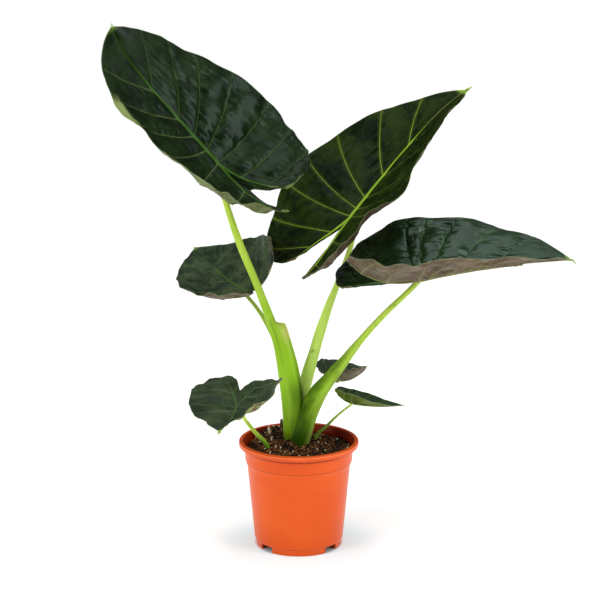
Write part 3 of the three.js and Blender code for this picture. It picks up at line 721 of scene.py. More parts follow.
def earth_finish(name, dark, light, roughness, grain=420.0):
    """Crumbly matter with a darker and a lighter tone mixed grain by grain."""
    finish = Finish(name, Roughness=roughness, IOR=1.35)
    patches = finish.noise(finish.place, grain, 5.0, 0.65)
    wide = finish.noise(finish.place, 0.2 * grain, 3.0)
    tone = finish.blend(finish.reshape(patches, 0.46, 0.64), rgb(*dark), rgb(*light))
    tone = finish.blend(finish.reshape(wide, 0.56, 0.46, 0.0, 0.85), tone, rgb(*dark))
    return finish.use(Base_Color=tone, Normal=finish.relief(patches, 0.0009))


# -------------------------------------------------------------------------------------------- blades


def bezier(p, t):
    """Points at t on the cubic curve with control points p."""
    t = np.asarray(t, float)[..., None]
    p = [np.asarray(q, float) for q in p]
    s = 1 - t
    return s**3 * p[0] + 3 * s * s * t * p[1] + 3 * s * t * t * p[2] + t**3 * p[3]


def margin_of(leaf, side):
    """Half the blade's outline: tip to widest, widest to the lobe's end, and back to the notch."""
    width = leaf["half_width"]
    back = -leaf["lobes"][side]
    notch = -leaf["sinus"]
    widest = [WIDEST, width]
    lobe_end = [back, 0.42 * width]
    near_tip = [0.7, 2.05 * leaf["tip_fullness"] * width]
    near_notch = [min(0.62 * back, notch - 0.03), 0.1 * width]
    return [
        [[1, 0], near_tip, [WIDEST + 0.42, width], widest],
        [widest, [WIDEST - 0.3, width], [back, 0.76 * width], lobe_end],
        [lobe_end, [back, 0.16 * width], near_notch, [notch, 0]],
    ]


def margin_point(margin, s):
    """The outline at s: 0 is the tip, 1 the widest point, 2 the lobe's end and 3 the notch."""
    s = np.asarray(s, float)
    part = np.clip(np.floor(s), 0, 2).astype(int)
    point = np.zeros(s.shape + (2,))
    for k in range(3):
        point = np.where((part == k)[..., None], bezier(margin[k], s - k), point)
    return point


def margin_at(margin, u, start, stop):
    """Where on the margin, between start and stop, the outline is at u."""
    low = np.full(u.shape, float(start))
    high = np.full(u.shape, float(stop))
    falling = margin_point(margin, start)[0] > margin_point(margin, stop)[0]
    halvings = 40
    for _ in range(halvings):
        middle = (low + high) / 2
        before = (margin_point(margin, middle)[:, 0] > u) == falling
        low = np.where(before, middle, low)
        high = np.where(before, high, middle)
    return (low + high) / 2


def rotated(vector, axis, degrees):
    """A vector turned about an axis."""
    angle = math.radians(degrees)
    turned = vector * math.cos(angle) + np.cross(axis, vector) * math.sin(angle)
    return turned + axis * np.dot(axis, vector) * (1 - math.cos(angle))


def blade_axes(leaf):
    """The blade's directions where the stalk meets it: towards the tip, to its left, and out of its face."""
    heading = math.radians(leaf["heading"])
    climb = math.radians(leaf["climb"])
    level = np.array([math.cos(heading), math.sin(heading), 0.0])
    forward = math.cos(climb) * level + [0.0, 0.0, math.sin(climb)]
    left = np.array([-math.sin(heading), math.cos(heading), 0.0])
    up = np.cross(forward, left)
    return forward, rotated(left, forward, leaf["roll"]), rotated(up, forward, leaf["roll"])


def bent(leaf, u, v, side):
    """The flat blade's points (u, v), in parts of the length, bent to their places in space."""
    forward, left, up = blade_axes(leaf)
    reach = np.clip(u, 0, 1)

    # the midrib: how far it has run and climbed at each step from the stalk to the tip
    count = 400
    steps = np.linspace(0, 1, count + 1)
    pitch_at = np.radians(leaf["arch"] * steps + leaf["tip_arch"] * steps**4)
    between = (pitch_at[1:] + pitch_at[:-1]) / 2
    run = np.concatenate([[0], np.cumsum(np.cos(between)) / count])
    climb = np.concatenate([[0], np.cumsum(np.sin(between)) / count])

    # behind the stalk each lobe bends round an arc of its own
    turn = math.radians(leaf["lobe_pitch"][side]) * np.clip(-u, 0, None) / LOBE_UNIT
    behind = u < 0
    x = np.where(behind, u * sinc(turn), np.interp(reach, steps, run))
    z = np.where(behind, -u * np.sin(turn / 2) * sinc(turn / 2), np.interp(reach, steps, climb))
    pitch = np.where(behind, -turn, np.interp(reach, steps, pitch_at))[..., None]
    sideways = 0.5 * math.radians(leaf["sway"]) * reach**2
    normal = np.cos(pitch) * up - np.sin(pitch) * forward
    twist = (math.radians(leaf["twist"]) * np.clip(u, -0.6, 1))[..., None]
    across = np.cos(twist) * left + np.sin(twist) * normal
    raised = np.cos(twist) * normal - np.sin(twist) * left

    # each half stands up from the midrib by its fold, and curves on by its curl
    at_lobe = smooth(-u / LOBE_UNIT)
    at_tip = smooth(u)

    def here(values):
        lobe, base, tip = values
        return np.radians(base + (lobe - base) * at_lobe + (tip - base) * at_tip)

    angle = here(leaf["curl"][side]) * v / leaf["half_width"]
    fold = here(leaf["fold"][side])
    out = v * np.cos(fold + angle / 2) * sinc(angle / 2)
    rise = v * np.sin(fold + angle / 2) * sinc(angle / 2)
    out = out if side == 0 else -out
    place = x[..., None] * forward + z[..., None] * up + sideways[..., None] * left
    place = place + out[..., None] * across + rise[..., None] * raised
    return np.array(leaf["junction"], float) + leaf["length"] * place


def lobe_rib(leaf, b, f):
    """The lobe's own rib, from where the veins meet at f = 0."""
    f = np.asarray(f, float)
    hub = leaf.get("hub", 0)
    spread = leaf.get("rib_spread", 0.26)
    along_rib = LOBE_RIB * f
    return np.stack([hub - (b + hub) * along_rib, spread * leaf["half_width"] * along_rib**1.3], -1)


def across_panel(steps):
    """Stations from one vein to the next, closer together beside the veins."""
    even = np.linspace(-1, 1, steps + 1)
    return (1 + np.sign(even) * (1 - (1 - np.abs(even)) ** 1.5)) / 2


def blade_side(leaf, side):
    """One half of the flat blade as a grid. Its rows run from the midrib or the lobe rib to the margin."""
    panel_rows, columns = FINENESS[leaf["size"]]
    margin = margin_of(leaf, side)
    b = leaf["lobes"][side]
    steps = across_panel(panel_rows)
    hub = leaf.get("hub", 0)
    first = hub + VEIN_START
    front = [1.0] + leaf["laterals"] + [first]
    lobe = [k / (LOBE_VEINS + 0.7) for k in range(LOBE_VEINS + 1)] + [1.0]
    root, s, lift, station, inner = [], [], [], [], []

    def add_panel(start, stop, kind, number):
        part = mix(start, stop, steps)
        if kind == "front":
            ahead = np.maximum(0, part - first) / (1 - first)
            root.append(np.stack([hub + (1 - hub) * ahead ** (1.3 + 2.1 * ahead), 0 * part], -1))
            s.append(margin_at(margin, part, 0, 2))
        else:
            root.append(lobe_rib(leaf, b, part))
            if kind == "outer":
                s.append(margin_at(margin, first - part**0.8 * (first + b), 0, 2))
            else:
                s.append(margin_at(margin, -leaf["sinus"] - part * (b - leaf["sinus"]), 2, 3))
        lift.append(1 - np.abs(2 * steps - 1) ** 2.6)  # 0 at a vein, 1 midway between two
        station.append(number + steps)  # counts the panels from the tip
        inner.append(np.full(len(steps), kind == "inner"))

    for k in range(len(front) - 1):
        add_panel(front[k], front[k + 1], "front", k)
    for k in range(len(lobe) - 1):
        add_panel(lobe[k], lobe[k + 1], "outer", len(front) - 1 + k)
    for k in range(len(lobe) - 1):
        add_panel(lobe[-1 - k], lobe[-2 - k], "inner", len(front) + len(lobe) - 2 + k)

    keep = np.ones(len(steps) * len(root), bool)
    keep[len(steps)::len(steps)] = False  # the first row of a panel is the last of the one before
    join = [np.concatenate(part)[keep] for part in (root, s, lift, station, inner)]
    root, s, lift, station, inner = join
    s[0] = 0.0
    s[-1] = 3.0

    # the margin is scalloped, less so at the tip and in the notch
    end = margin_point(margin, s)
    seed = 300 + leaf["length"]
    wobble = hills(9 * s, 0, seed) + 0.2 * hills(21 * s, 0, seed + 1)
    wobble = 0.006 * leaf["scallop"] * wobble * smooth(5 * s) * smooth(3 - s)
    end = end + np.stack([0.4 * np.sign(end[:, 0]) * wobble, wobble], -1)
    flap = np.zeros(len(s))
    if leaf.get("flap", {}).get("side") == side:
        flap = bell(s, leaf["flap"]["at"], leaf["flap"]["width"])
        end = end + unit(end - root + 1e-9) * (flap * leaf["flap"]["reach"] / leaf["length"])[:, None]
    end[0] = (1, 0)

    # each row runs from its root to the margin on a curve that sets off backwards a little, and its points
    # lie closer together at both ends
    even = np.linspace(0, 1, columns)
    t = np.clip(0.35 * even + 0.65 * (even**2 * (3 - 2 * even)), 0, 1)
    reach = np.linalg.norm(end - root, axis=-1)
    back = np.where(inner | (s > 2), 0.0, 0.1 * reach)
    via = (root + end) / 2 - np.stack([back, 0 * back], -1)
    a = root[:, None, :] * ((1 - t) ** 2)[None, :, None]
    c = via[:, None, :] * (2 * t * (1 - t))[None, :, None]
    flat = a + c + end[:, None, :] * (t**2)[None, :, None]
    return dict(
        flat=flat, t=t, s=s[:, None], lift=lift[:, None], station=station[:, None], inner=inner[:, None],
        flap=flap[:, None], arc=reach[:, None] * t * leaf["length"],
        edge=(1 - t) * reach[:, None] * leaf["length"],
        steps=panel_rows, front_panels=len(front) - 1, lobe_panels=len(lobe) - 1,
    )


def nearest(points, path, widths):
    """Distance from points to a path, the same in parts of its half width, and that half width."""
    distance = np.full(points.shape[:-1], FAR)
    ratio = np.full(points.shape[:-1], FAR)
    width = np.ones(points.shape[:-1])
    for (a, wa), (b, wb) in zip(zip(path, widths), zip(path[1:], widths[1:])):
        step = b - a
        size = float(step @ step)
        if size < 1e-12:
            continue
        part = np.clip(((points - a) @ step) / size, 0, 1)
        gap = np.linalg.norm(points - (a + part[..., None] * step), axis=-1)
        here = mix(wa, wb, part)
        width = np.where(gap / here < ratio, here, width)
        distance = np.minimum(distance, gap)
        ratio = np.minimum(ratio, gap / here)
    return distance, ratio, width


def find_veins(leaf, half, grid, side):
    """The veins of one half: how far its points are from them, the keel under them, and the raised ribs.

    near is the distance to the nearest lateral. vein and rib are the distances to a lateral and to the midrib
    or lobe rib, in parts of their half widths. Each of the ribs is [points, radii].
    """
    length = leaf["length"]
    size = length / LARGE
    flat = half["flat"]
    t = half["t"]
    steps = half["steps"]
    lobe_start = half["front_panels"] * steps
    lobe_end = lobe_start + half["lobe_panels"] * steps
    notch = lobe_end + half["lobe_panels"] * steps

    # laterals: [row of the grid, half width at the root, half width at the margin]
    laterals = [[row, 0.8, 0.25] for row in range(steps, lobe_end + 1, steps)]
    laterals += [[row, 0.4, 0.15] for row in range(lobe_end + steps, notch, steps)]
    near = np.full(flat.shape[:2], FAR)
    vein = np.full(flat.shape[:2], FAR)
    rib = np.full(flat.shape[:2], FAR)
    keel = np.zeros(flat.shape[:2])
    ribs = []
    for row, thick, thin in laterals:
        path = flat[row] * length
        widths = mix(thick, thin, t**0.7) * max(size, 0.8)
        gap, ratio, width = nearest(flat * length, path[::2], widths[::2])
        near = np.minimum(near, gap)
        vein = np.minimum(vein, ratio)
        keel = np.maximum(keel, width * bell(ratio, 0, 1.4))
        stop = int(0.93 * len(t))  # a raised vein ends short of the margin
        ribs.append([grid[row, :stop], widths[:stop]])

    midrib = flat[: lobe_start + 1, 0] * length
    mid_width = mix(0.4, 3.0, (1 - midrib[:, 0] / length) ** 1.3) * size
    lobe_rib_path = flat[lobe_start: lobe_end + 1, 0] * length
    lobe_width = np.linspace(2.1, 0.4, len(lobe_rib_path)) * size
    for path, widths in ((midrib[::-1], mid_width[::-1]), (lobe_rib_path, lobe_width)):
        _, ratio, width = nearest(flat * length, path[::3], widths[::3])
        rib = np.minimum(rib, ratio)
        keel = np.maximum(keel, width * bell(ratio, 0, 1.4))
    ribs.append([grid[lobe_start: lobe_end + 1, 0], lobe_width])
    if side == 0:
        ribs.append([grid[: lobe_start + 1, 0], mid_width])
    return near, vein, rib, keel, ribs


def puffed(key, leaf, half, near, side):
    """How far the points of one half stand out of the smoothly bent blade."""
    length = leaf["length"]
    size = length / LARGE
    t = half["t"]
    s = half["s"]
    arc = half["arc"]
    seed = 10 * key + side

    # the panel between two veins stands up, and the margin waves
    swell = mix(-0.15, 1.0, half["lift"]) * leaf["quilt"] * np.sin(np.pi * t**0.75) ** 0.7
    swing = np.sin(2 * np.pi * leaf["waves"] * s + leaf["phase"] + 2.4 * side) * np.clip(4 * s, 0, 1)
    puff = swell + leaf["wave"] * t**3 * swing
    puff = np.where(half["inner"], 0.4 * puff, puff)

    # dents pucker the panels and creases run beside the veins, but not close to a rib or to the margin
    ahead = half["flat"][..., 0] * length
    aside = half["flat"][..., 1] * length
    dents = hills(ahead / 28, aside / 28, seed) + 0.3 * hills(ahead / 11, aside / 11, seed + 1)
    creases = hills(arc / 6.5, half["station"] * 1.8, seed + 2)
    creases += 0.6 * hills(arc / 3.8, half["station"] * 3.1, seed + 3)
    beside = np.exp(-near / (10 * size)) * (1 - np.exp(-near / (2.0 * size)))
    calm = smooth(arc / (16 * size))
    tame = mix(0.3, 1.0, smooth(half["edge"] / (16 * size)))
    puff = puff + calm * tame * (0.75 * leaf["pucker"] * dents + leaf["crease"] * creases * beside)

    # the margin is frilled, and rolled under where it has a flap
    frill = hills(10 * s, 0, seed + 4) + 0.6 * hills(27 * s, 0, seed + 5)
    frill = frill * smooth((t - 0.7) / 0.3) * smooth(6 * s) * smooth(2.4 - s)
    puff = puff + leaf["frill"][side] * leaf["wave"] * frill
    puff = puff - FLAP_ROLL * (half["flap"] * smooth((t - 0.82) / 0.18))
    puff[:, 0] = 0.0
    puff[-1, :] = 0.0
    puff[0, :] = 0.0
    return puff


def welded(flats, faces, marks):
    """Join the points that the halves share: which are kept, where each went, the faces and their map."""
    keys = np.round(flats, 6) + 0.0
    _, kept, same = np.unique(keys, axis=0, return_index=True, return_inverse=True)
    same = same.ravel()
    joined, uv = [], []
    for quad in faces:
        face, corner_marks = [], []
        for corner in quad:
            point = int(same[corner])
            if point not in face:
                face.append(point)
                corner_marks.append(marks[corner])
        if len(face) > 2:
            joined.append(tuple(face))
            uv.extend(corner_marks)
    return kept, same, joined, uv


# The numbers that every point of a blade carries for its finishes.
NAMED = ("vein", "rib", "near", "edge", "tip", "flap", "half")


def blade_form(key, leaf):
    """Everything about one blade: its points, faces, surface map, named numbers and rib paths."""
    flats, places, puffs, faces, marks, numbers, ribs, margins = [], [], [], [], [], [], [], []
    count = 0
    for side in (0, 1):
        half = blade_side(leaf, side)
        flat = half["flat"]
        turns, columns = flat.shape[:2]
        grid = count + np.arange(turns * columns).reshape(turns, columns)
        count += turns * columns
        margins.append(grid[:, -1])
        near, vein, rib, keel, raised = find_veins(leaf, half, grid, side)
        ribs += raised
        puffs.append(puffed(key, leaf, half, near, side).ravel())
        places.append(bent(leaf, flat[..., 0], flat[..., 1], side).reshape(-1, 3))
        signed = flat.copy()
        signed[..., 1] *= 1 if side == 0 else -1
        flats.append(signed.reshape(-1, 2))

        arc = half["arc"]
        flap = np.clip(1.8 * half["flap"] - 0.3, 0, 1) * smooth((half["t"] - 0.87) / 0.04)
        # in the order of NAMED, with the keel's depth after them
        named = [vein, rib, near, half["edge"], flat[..., 0], flap, side + 0 * arc, keel]
        numbers.append(np.stack(named, -1).reshape(-1, len(named)))
        marks.append(np.stack([half["station"] + 0 * arc, arc / 60], -1).reshape(-1, 2))
        for i in range(turns - 1):
            for j in range(columns - 1):
                quad = [grid[i, j], grid[i, j + 1], grid[i + 1, j + 1], grid[i + 1, j]]
                faces.append(quad if side == 0 else quad[::-1])

    kept, same, faces, uv = welded(np.concatenate(flats), faces, np.concatenate(marks))
    places = np.concatenate(places)[kept]
    numbers = np.concatenate(numbers)[kept]
    upper = places + normals_of(places, faces) * np.concatenate(puffs)[kept][:, None]
    normals = normals_of(upper, faces)
    edge = numbers[:, NAMED.index("edge")]
    keel = numbers[:, -1]
    thickness = BLADE * mix(0.75, 1.0, smooth(edge / 4)) + keel  # thinner at the margin
    outline = [int(same[i]) for i in margins[0]] + [int(same[i]) for i in margins[1][::-1]]
    return dict(
        upper=upper, lower=upper - normals * thickness[:, None], normals=normals, faces=faces, uv=uv,
        numbers=numbers, ribs=[[same[path], radii] for path, radii in ribs],
        outline=[a for a, b in zip(outline, outline[1:] + outline[:1]) if a != b],
    )


def make_blade(key, leaf, ribs):
    """Two sheets a blade's thickness apart, joined round the margin, with ribs below."""
    form = blade_form(key, leaf)
    count = len(form["upper"])
    points = np.concatenate([form["upper"], form["lower"]])
    faces = list(form["faces"])
    faces += [tuple(i + count for i in reversed(face)) for face in form["faces"]]
    uv = list(form["uv"])
    start = 0
    for face in form["faces"]:
        uv.extend(reversed(form["uv"][start: start + len(face)]))
        start += len(face)
    finish = [0] * len(form["faces"]) + [1] * len(form["faces"])
    for a, b in zip(form["outline"], form["outline"][1:] + form["outline"][:1]):
        faces.append((a, a + count, b + count, b))
        uv.extend([(0.0, 0.0)] * 4)
        finish.append(0)
    numbers = np.concatenate([form["numbers"], form["numbers"]])
    values = {name: numbers[:, i] for i, name in enumerate(NAMED)}
    mesh = make_mesh("blade_fine_%d" % key, points, faces, uv, values, finish)
    sharp = mesh.attributes.new("sharp_edge", "BOOLEAN", "EDGE")
    rim = set(form["outline"]) | {i + count for i in form["outline"]}
    flags = [e.vertices[0] in rim and e.vertices[1] in rim for e in mesh.edges]
    sharp.data.foreach_set("value", flags)
    colours = LEAF_COLOURS[key]
    finishes = [upper_finish(key, colours), under_finish(key, colours)]
    add_piece("blade_fine_%d" % key, mesh, finishes, ["blade_%d" % key])
    make_ribs(key, leaf, form, ribs)


def rib_tree():
    """Round tapered ribs along the edges of a wire mesh, as thick as its girth says."""
    tree = Tree("tapered_ribs", {"Sides": "Int", "Material": "Material"})
    girth = tree.out("GeometryNodeInputNamedAttribute", {"Name": "girth"}, "Attribute", data_type="FLOAT")
    curve = tree.out("GeometryNodeMeshToCurve", {"Mesh": tree.given["Geometry"]})
    circle = tree.out("GeometryNodeCurvePrimitiveCircle", {"Resolution": tree.given["Sides"], "Radius": 1.0})
    tree.end_in(tree.out("GeometryNodeCurveToMesh", {
        "Curve": curve, "Profile Curve": circle, "Scale": girth, "Fill Caps": True,
    }))
    return tree


def drip_tip(leaf, form):
    """The thin tail that carries the midrib on past the tip: its points, radii and how green each is."""
    tail, droop, base = leaf["tail"]
    rooted = 3.0  # how far back from the tip it starts
    count = 8
    tip = form["upper"][form["outline"][0]]
    ahead = unit(tip - bent(leaf, np.array(0.9), np.array(0.0), 0))
    side = unit(np.cross(ahead, [0, 0, 1.0]))
    points, girth, green = [], [], []
    place = tip - rooted * ahead
    for i in range(count + 1):
        part = i / count
        points.append(place)
        girth.append(mix(base, 0.5, part) * (0.5 if i == 0 else 1.0))
        green.append(tail / 9 if part > 0.2 else 0.0)
        place = place + (tail + rooted) / count * rotated(ahead, side, -droop * part)
    return points, girth, green


def make_ribs(key, leaf, form, tree):
    """The ribs that stand out of the underside, and the drip tip at the end of the midrib."""
    gap = 2.5  # the least distance from one point of a rib to the next
    lower = form["lower"]
    strands = []
    for path, radii in form["ribs"]:
        chosen = [0]
        for i in range(1, len(path)):
            if np.linalg.norm(lower[path[i]] - lower[path[chosen[-1]]]) > gap:
                chosen.append(i)
        line = [lower[path[i]] + 0.25 * radii[i] * form["normals"][path[i]] for i in chosen]
        if len(line) > 2:
            strands.append([line, [radii[i] for i in chosen], [0.0] * len(line)])
    strands.append(drip_tip(leaf, form))

    points, edges, girth, green = [], [], [], []
    for line, thick, drip in strands:
        start = len(points)
        points.extend(line)
        girth.extend(thick)
        green.extend(drip)
        edges.extend((start + i, start + i + 1) for i in range(len(line) - 1))
    mesh = bpy.data.meshes.new("blade_ribs_%d" % key)
    mesh.from_pydata(in_frame(points).tolist(), edges, [])
    girth = np.array(girth, np.float32) * MM
    green = np.clip(np.array(green, np.float32), 0, 1)
    for name, values in (("girth", girth), ("drip", green)):
        layer = mesh.attributes.new(name, "FLOAT", "POINT")
        layer.data.foreach_set("value", values)
    grown = tree.grow(mesh, Sides=8, Material=rib_finish(key, LEAF_COLOURS[key]))
    grown.shade_smooth()
    add_piece("blade_ribs_%d" % key, grown, [])


# -------------------------------------------------------------------------------------------- stalks


def smooth_path(points, at):
    """Centripetal curve through [x, y, z, radius] points: places, directions and radii at 0..1."""
    points = np.asarray(points, float)
    before = 2 * points[0] - points[1]
    after = 2 * points[-1] - points[-2]
    padded = np.vstack([before, points, after])
    spans = len(points) - 1
    places, tangents = [], []
    for t in at:
        k = min(spans - 1, int(t * spans))
        w = t * spans - k
        p0, p1, p2, p3 = padded[k: k + 4]
        pairs = ((p0, p1), (p1, p2), (p2, p3))
        d0, d1, d2 = [math.sqrt(np.linalg.norm((b - a)[:3])) for a, b in pairs]
        m1 = ((p1 - p0) / d0 - (p2 - p0) / (d0 + d1) + (p2 - p1) / d1) * d1
        m2 = ((p2 - p1) / d1 - (p3 - p1) / (d1 + d2) + (p3 - p2) / d2) * d1
        c2 = -3 * p1 + 3 * p2 - 2 * m1 - m2
        c3 = 2 * p1 - 2 * p2 + m1 + m2
        places.append(p1 + m1 * w + c2 * w * w + c3 * w**3)
        tangents.append(m1 + 2 * c2 * w + 3 * c3 * w * w)
    places = np.array(places)
    return places[:, :3], unit(np.array(tangents)[:, :3]), places[:, 3]


def keel_depth(leaf):
    """How far below the blade's face its stalk ends, in the keel where the ribs meet."""
    return 0.009 * leaf["length"] + BLADE + 0.5


def whole_path(stalk, leaf):
    """The stalk's path, carried on down into the soil and up to its blade."""
    x, y, z, radius = stalk["path"][0]
    sunk = [x, y, z - STALK_DEPTH, 0.8 * radius]
    last = stalk["path"][-1]
    _, _, up = blade_axes(leaf)
    seat = np.array(leaf["junction"], float) - keel_depth(leaf) * up
    arriving = unit(seat - np.array(last[:3], float))
    root = seat - 1.6 * last[3] * arriving
    return [sunk] + stalk["path"] + [[*root, last[3]]]


def blade_seat(leaf, tangent, channel, flank, radius, angle):
    """The ring in which a stalk ends, laid against the underside of its blade."""
    forward, left, up = blade_axes(leaf)
    slant = max(0.6, float(tangent @ up))
    spoke = radius * (np.cos(angle)[:, None] * channel + np.sin(angle)[:, None] * flank)
    spoke = spoke - tangent * (spoke @ up)[:, None] / slant
    u = spoke @ forward / leaf["length"]
    v = spoke @ left / leaf["length"]
    under = np.where((v >= 0)[:, None], bent(leaf, u, np.abs(v), 0), bent(leaf, u, np.abs(v), 1))
    sunk = 0.9  # how far the stalk's end goes into the keel
    return under - (keel_depth(leaf) - sunk) * up


def skin_marks(stalk, height, around):
    """How much of each mark there is at points of a stalk, by height and by turn from the channel."""
    marks = {}
    for mark in ("dry", "shade", "scar", "painted_light"):
        marks[mark] = np.zeros(len(height))
        for z, tall, turn, wide, strength in stalk.get(mark, []):
            spot = strength * bell(height, z, tall) * bell(around, turn, wide)
            marks[mark] = np.maximum(marks[mark], spot)
    # painted shade along the furrow's groove
    if "furrow" in stalk:
        deep = bell(around, FURROW_TURN, 0.15) * along(stalk["furrow"], height)
        marks["shade"] = np.maximum(marks["shade"], 0.45 * deep)
    return marks


def make_stalk(key, stalk, leaf, finish):
    """A stalk from inside the soil to the underside of its blade, grooved on its channel side."""
    thick = stalk["path"][0][3] > 6
    sides = 72 if thick else 32
    path = whole_path(stalk, leaf)
    rings = 14 * (len(path) - 1) + 1  # 14 from one point of the path to the next
    centres, tangents, radii = smooth_path(path, np.linspace(0, 1, rings))
    far = np.concatenate([[0], np.cumsum(np.linalg.norm(np.diff(centres, axis=0), axis=1))])
    total = far[-1]
    angle = circle_angles(sides)
    off = np.minimum(angle, 2 * np.pi - angle)  # turn from the channel, either way
    inward = np.array(stalk["inward"], float)
    channel = unit(inward - tangents * (tangents @ inward)[:, None])
    flank = np.cross(tangents, channel)

    # radius all round each ring: uneven, with the edges of the sheath, the channel and the furrow
    wing = along(stalk["sheath"], centres[:, 2])[:, None]
    ridge = hills(off * 9, far[:, None] / 90, 200 + key)
    r = radii[:, None] * (1 + 0.03 * ridge) + wing * bell(off, SHEATH_TURN, 0.33)
    r = r - 0.12 * radii[:, None] * bell(off, 0, 0.3)
    furrow = bell(off, FURROW_TURN, 0.17) * along(stalk.get("furrow", []), centres[:, 2])[:, None]
    r = r - 1.3 * furrow
    skin = centres[:, None, :] + channel[:, None, :] * (r * np.cos(angle))[..., None]
    skin = skin + flank[:, None, :] * (r * np.sin(angle))[..., None]
    seat = blade_seat(leaf, tangents[-1], channel[-1], flank[-1], path[-1][3], angle)
    upper_rings = [mix(skin[-1], seat, part) for part in (0.35, 0.7)] + [seat]

    # rings from the foot to the seat, closed by a fan at each end
    points = np.concatenate([skin.reshape(-1, 3), *upper_rings, [skin[0].mean(0), seat.mean(0)]])
    foot = len(points) - 2
    faces = ring_faces(foot // sides, sides) + fan_caps(sides, foot - sides, foot, foot + 1)

    ring_far = np.concatenate([far, [total + 1, total + 2, total + 3]])
    point_far = np.concatenate([np.repeat(ring_far, sides), [0, total]])
    around = np.concatenate([np.tile(off, len(ring_far)), [9, 9]])  # no mark reaches the middles of the ends
    rise = np.clip((point_far - STALK_DEPTH) / (total - STALK_DEPTH), 0, 1)
    values = {"rise": rise, **skin_marks(stalk, points[:, 2], around)}
    uv = []
    for face in faces:
        crosses_seam = sides - 1 in [corner % sides for corner in face]
        for corner in face:
            j = corner % sides
            turn = 1.0 if j == 0 and crosses_seam else j / sides
            uv.append((0.5 if corner >= foot else turn, point_far[corner] / 100))
    mesh = make_mesh("stalk_fine_%d" % key, points, faces, uv, values)
    add_piece("stalk_fine_%d" % key, mesh, [finish], ["stalk_%d" % key])


# ----------------------------------------------------------------------------------------------- pot

# Half of the pot cut through its axis: [radius, height].
POT_OUTLINE = [
    # underside of the floor, and the foot
    [0, 6], [57.6, 6], [58.6, 5], [58.6, 0], [62, 0], [63, 8], [64.6, 11],
    # wall and collar
    [74.7, 119], [77.6, 127], [78.6, 147.5],
    # lip
    [85.6, 148], [RIM_RADIUS, 149.5], [RIM_RADIUS, 154.4], [85.6, RIM_TOP], [81.2, RIM_TOP], [80.2, 154.6],
    # inside of the collar, the wall and the floor
    [77.6, 146], [76.5, 127.6], [73.3, 119.6], [63.2, 11], [60, POT_FLOOR], [0, POT_FLOOR],
]
POT_CORNER = 0.45  # radius of its rounded corners
NOTCH = (22.5, 21, 18)  # width, depth and height of the block that cuts a drain notch in the foot
NOTCH_RADIUS = 59.5  # how far from the axis its middle is
NOTCH_LEAN = 3  # how far each one leans towards its pair, in degrees


def pot_tree():
    """The pot's outline, its corners rounded, swept round the axis, less four notches in the foot."""
    tree = Tree("nursery_pot", {
        "Segments": "Int", "Corner Radius": "Float", "Sweep Radius": "Float", "Notch Size": "Vector",
        "Notch Radius": "Float", "Notch Lean": "Float", "Material": "Material",
    })
    given = tree.given
    outline = tree.out("GeometryNodeMeshToCurve", {"Mesh": given["Geometry"]})
    rounded = tree.out("GeometryNodeFilletCurve", {
        "Curve": outline, "Count": 3, "Radius": given["Corner Radius"], "Limit Radius": True,
    }, mode="POLY")
    circle = tree.out("GeometryNodeCurvePrimitiveCircle", {
        "Resolution": given["Segments"], "Radius": given["Sweep Radius"],
    })
    upright = tree.out("GeometryNodeSetCurveNormal", {"Curve": circle}, mode="Z_UP")
    swept = tree.out("GeometryNodeCurveToMesh", {"Curve": upright, "Profile Curve": rounded})
    closed = tree.out("GeometryNodeMergeByDistance", {"Geometry": swept, "Distance": 0.00002})

    # notch k is turned 45 + 90 k degrees, and leans towards or away from the one before it
    index = tree.out("GeometryNodeInputIndex")
    turn = tree.math("MULTIPLY_ADD", index, math.pi / 2, math.pi / 4)
    lean = tree.math("COSINE", tree.math("MULTIPLY", index, math.pi))
    heading = tree.math("MULTIPLY_ADD", lean, given["Notch Lean"], turn)
    facing = tree.out("FunctionNodeEulerToRotation", {
        "Euler": tree.out("ShaderNodeCombineXYZ", {"Z": heading}),
    })
    block = tree.out("GeometryNodeMeshCube", {"Size": given["Notch Size"]})
    aside = tree.out("ShaderNodeCombineXYZ", {"Y": given["Notch Radius"]})
    moved = tree.out("GeometryNodeTransform", {"Geometry": block, "Translation": aside})
    spots = tree.out("GeometryNodeMeshLine", {"Count": 4, "Offset": (0.0, 0.0, 0.0)})
    cutters = tree.out("GeometryNodeInstanceOnPoints", {
        "Points": spots, "Instance": moved, "Rotation": facing,
    })
    real = tree.out("GeometryNodeRealizeInstances", {"Geometry": cutters})
    tree.end_in(tree.out("GeometryNodeMeshBoolean", {
        "Mesh 1": closed, "Mesh 2": real,
    }, operation="DIFFERENCE", solver="EXACT"))
    return tree


def make_pot(finish):
    """The moulded pot, swept from its outline and cut at the foot."""
    sweep = 40.0  # radius of the circle that carries the outline, which is set in by as much
    outline = np.array([[r - sweep, -z, 0.0] for r, z in POT_OUTLINE]) * MM
    mesh = bpy.data.meshes.new("pot_shell")
    mesh.from_pydata(outline.tolist(), [(i, i + 1) for i in range(len(outline) - 1)], [])
    grown = pot_tree().grow(
        mesh, Segments=180, Corner_Radius=POT_CORNER * MM, Sweep_Radius=sweep * MM,
        Notch_Size=tuple(size * MM for size in NOTCH), Notch_Radius=-NOTCH_RADIUS * MM,
        Notch_Lean=math.radians(NOTCH_LEAN), Material=finish,
    )
    seat = np.array([v.co[:] for v in grown.vertices]) + POT_AXIS
    grown.vertices.foreach_set("co", seat.ravel())
    outward(grown)
    grown.shade_smooth()
    grown.set_sharp_from_angle(angle=math.radians(40))
    add_piece("pot_shell", grown, [], ["pot"])


def outward(mesh):
    """Turn all faces of a closed mesh outwards."""
    work = bmesh.new()
    work.from_mesh(mesh)
    bmesh.ops.recalc_face_normals(work, faces=work.faces)
    work.to_mesh(mesh)
    work.free()


# ---------------------------------------------------------------------------------------------- soil

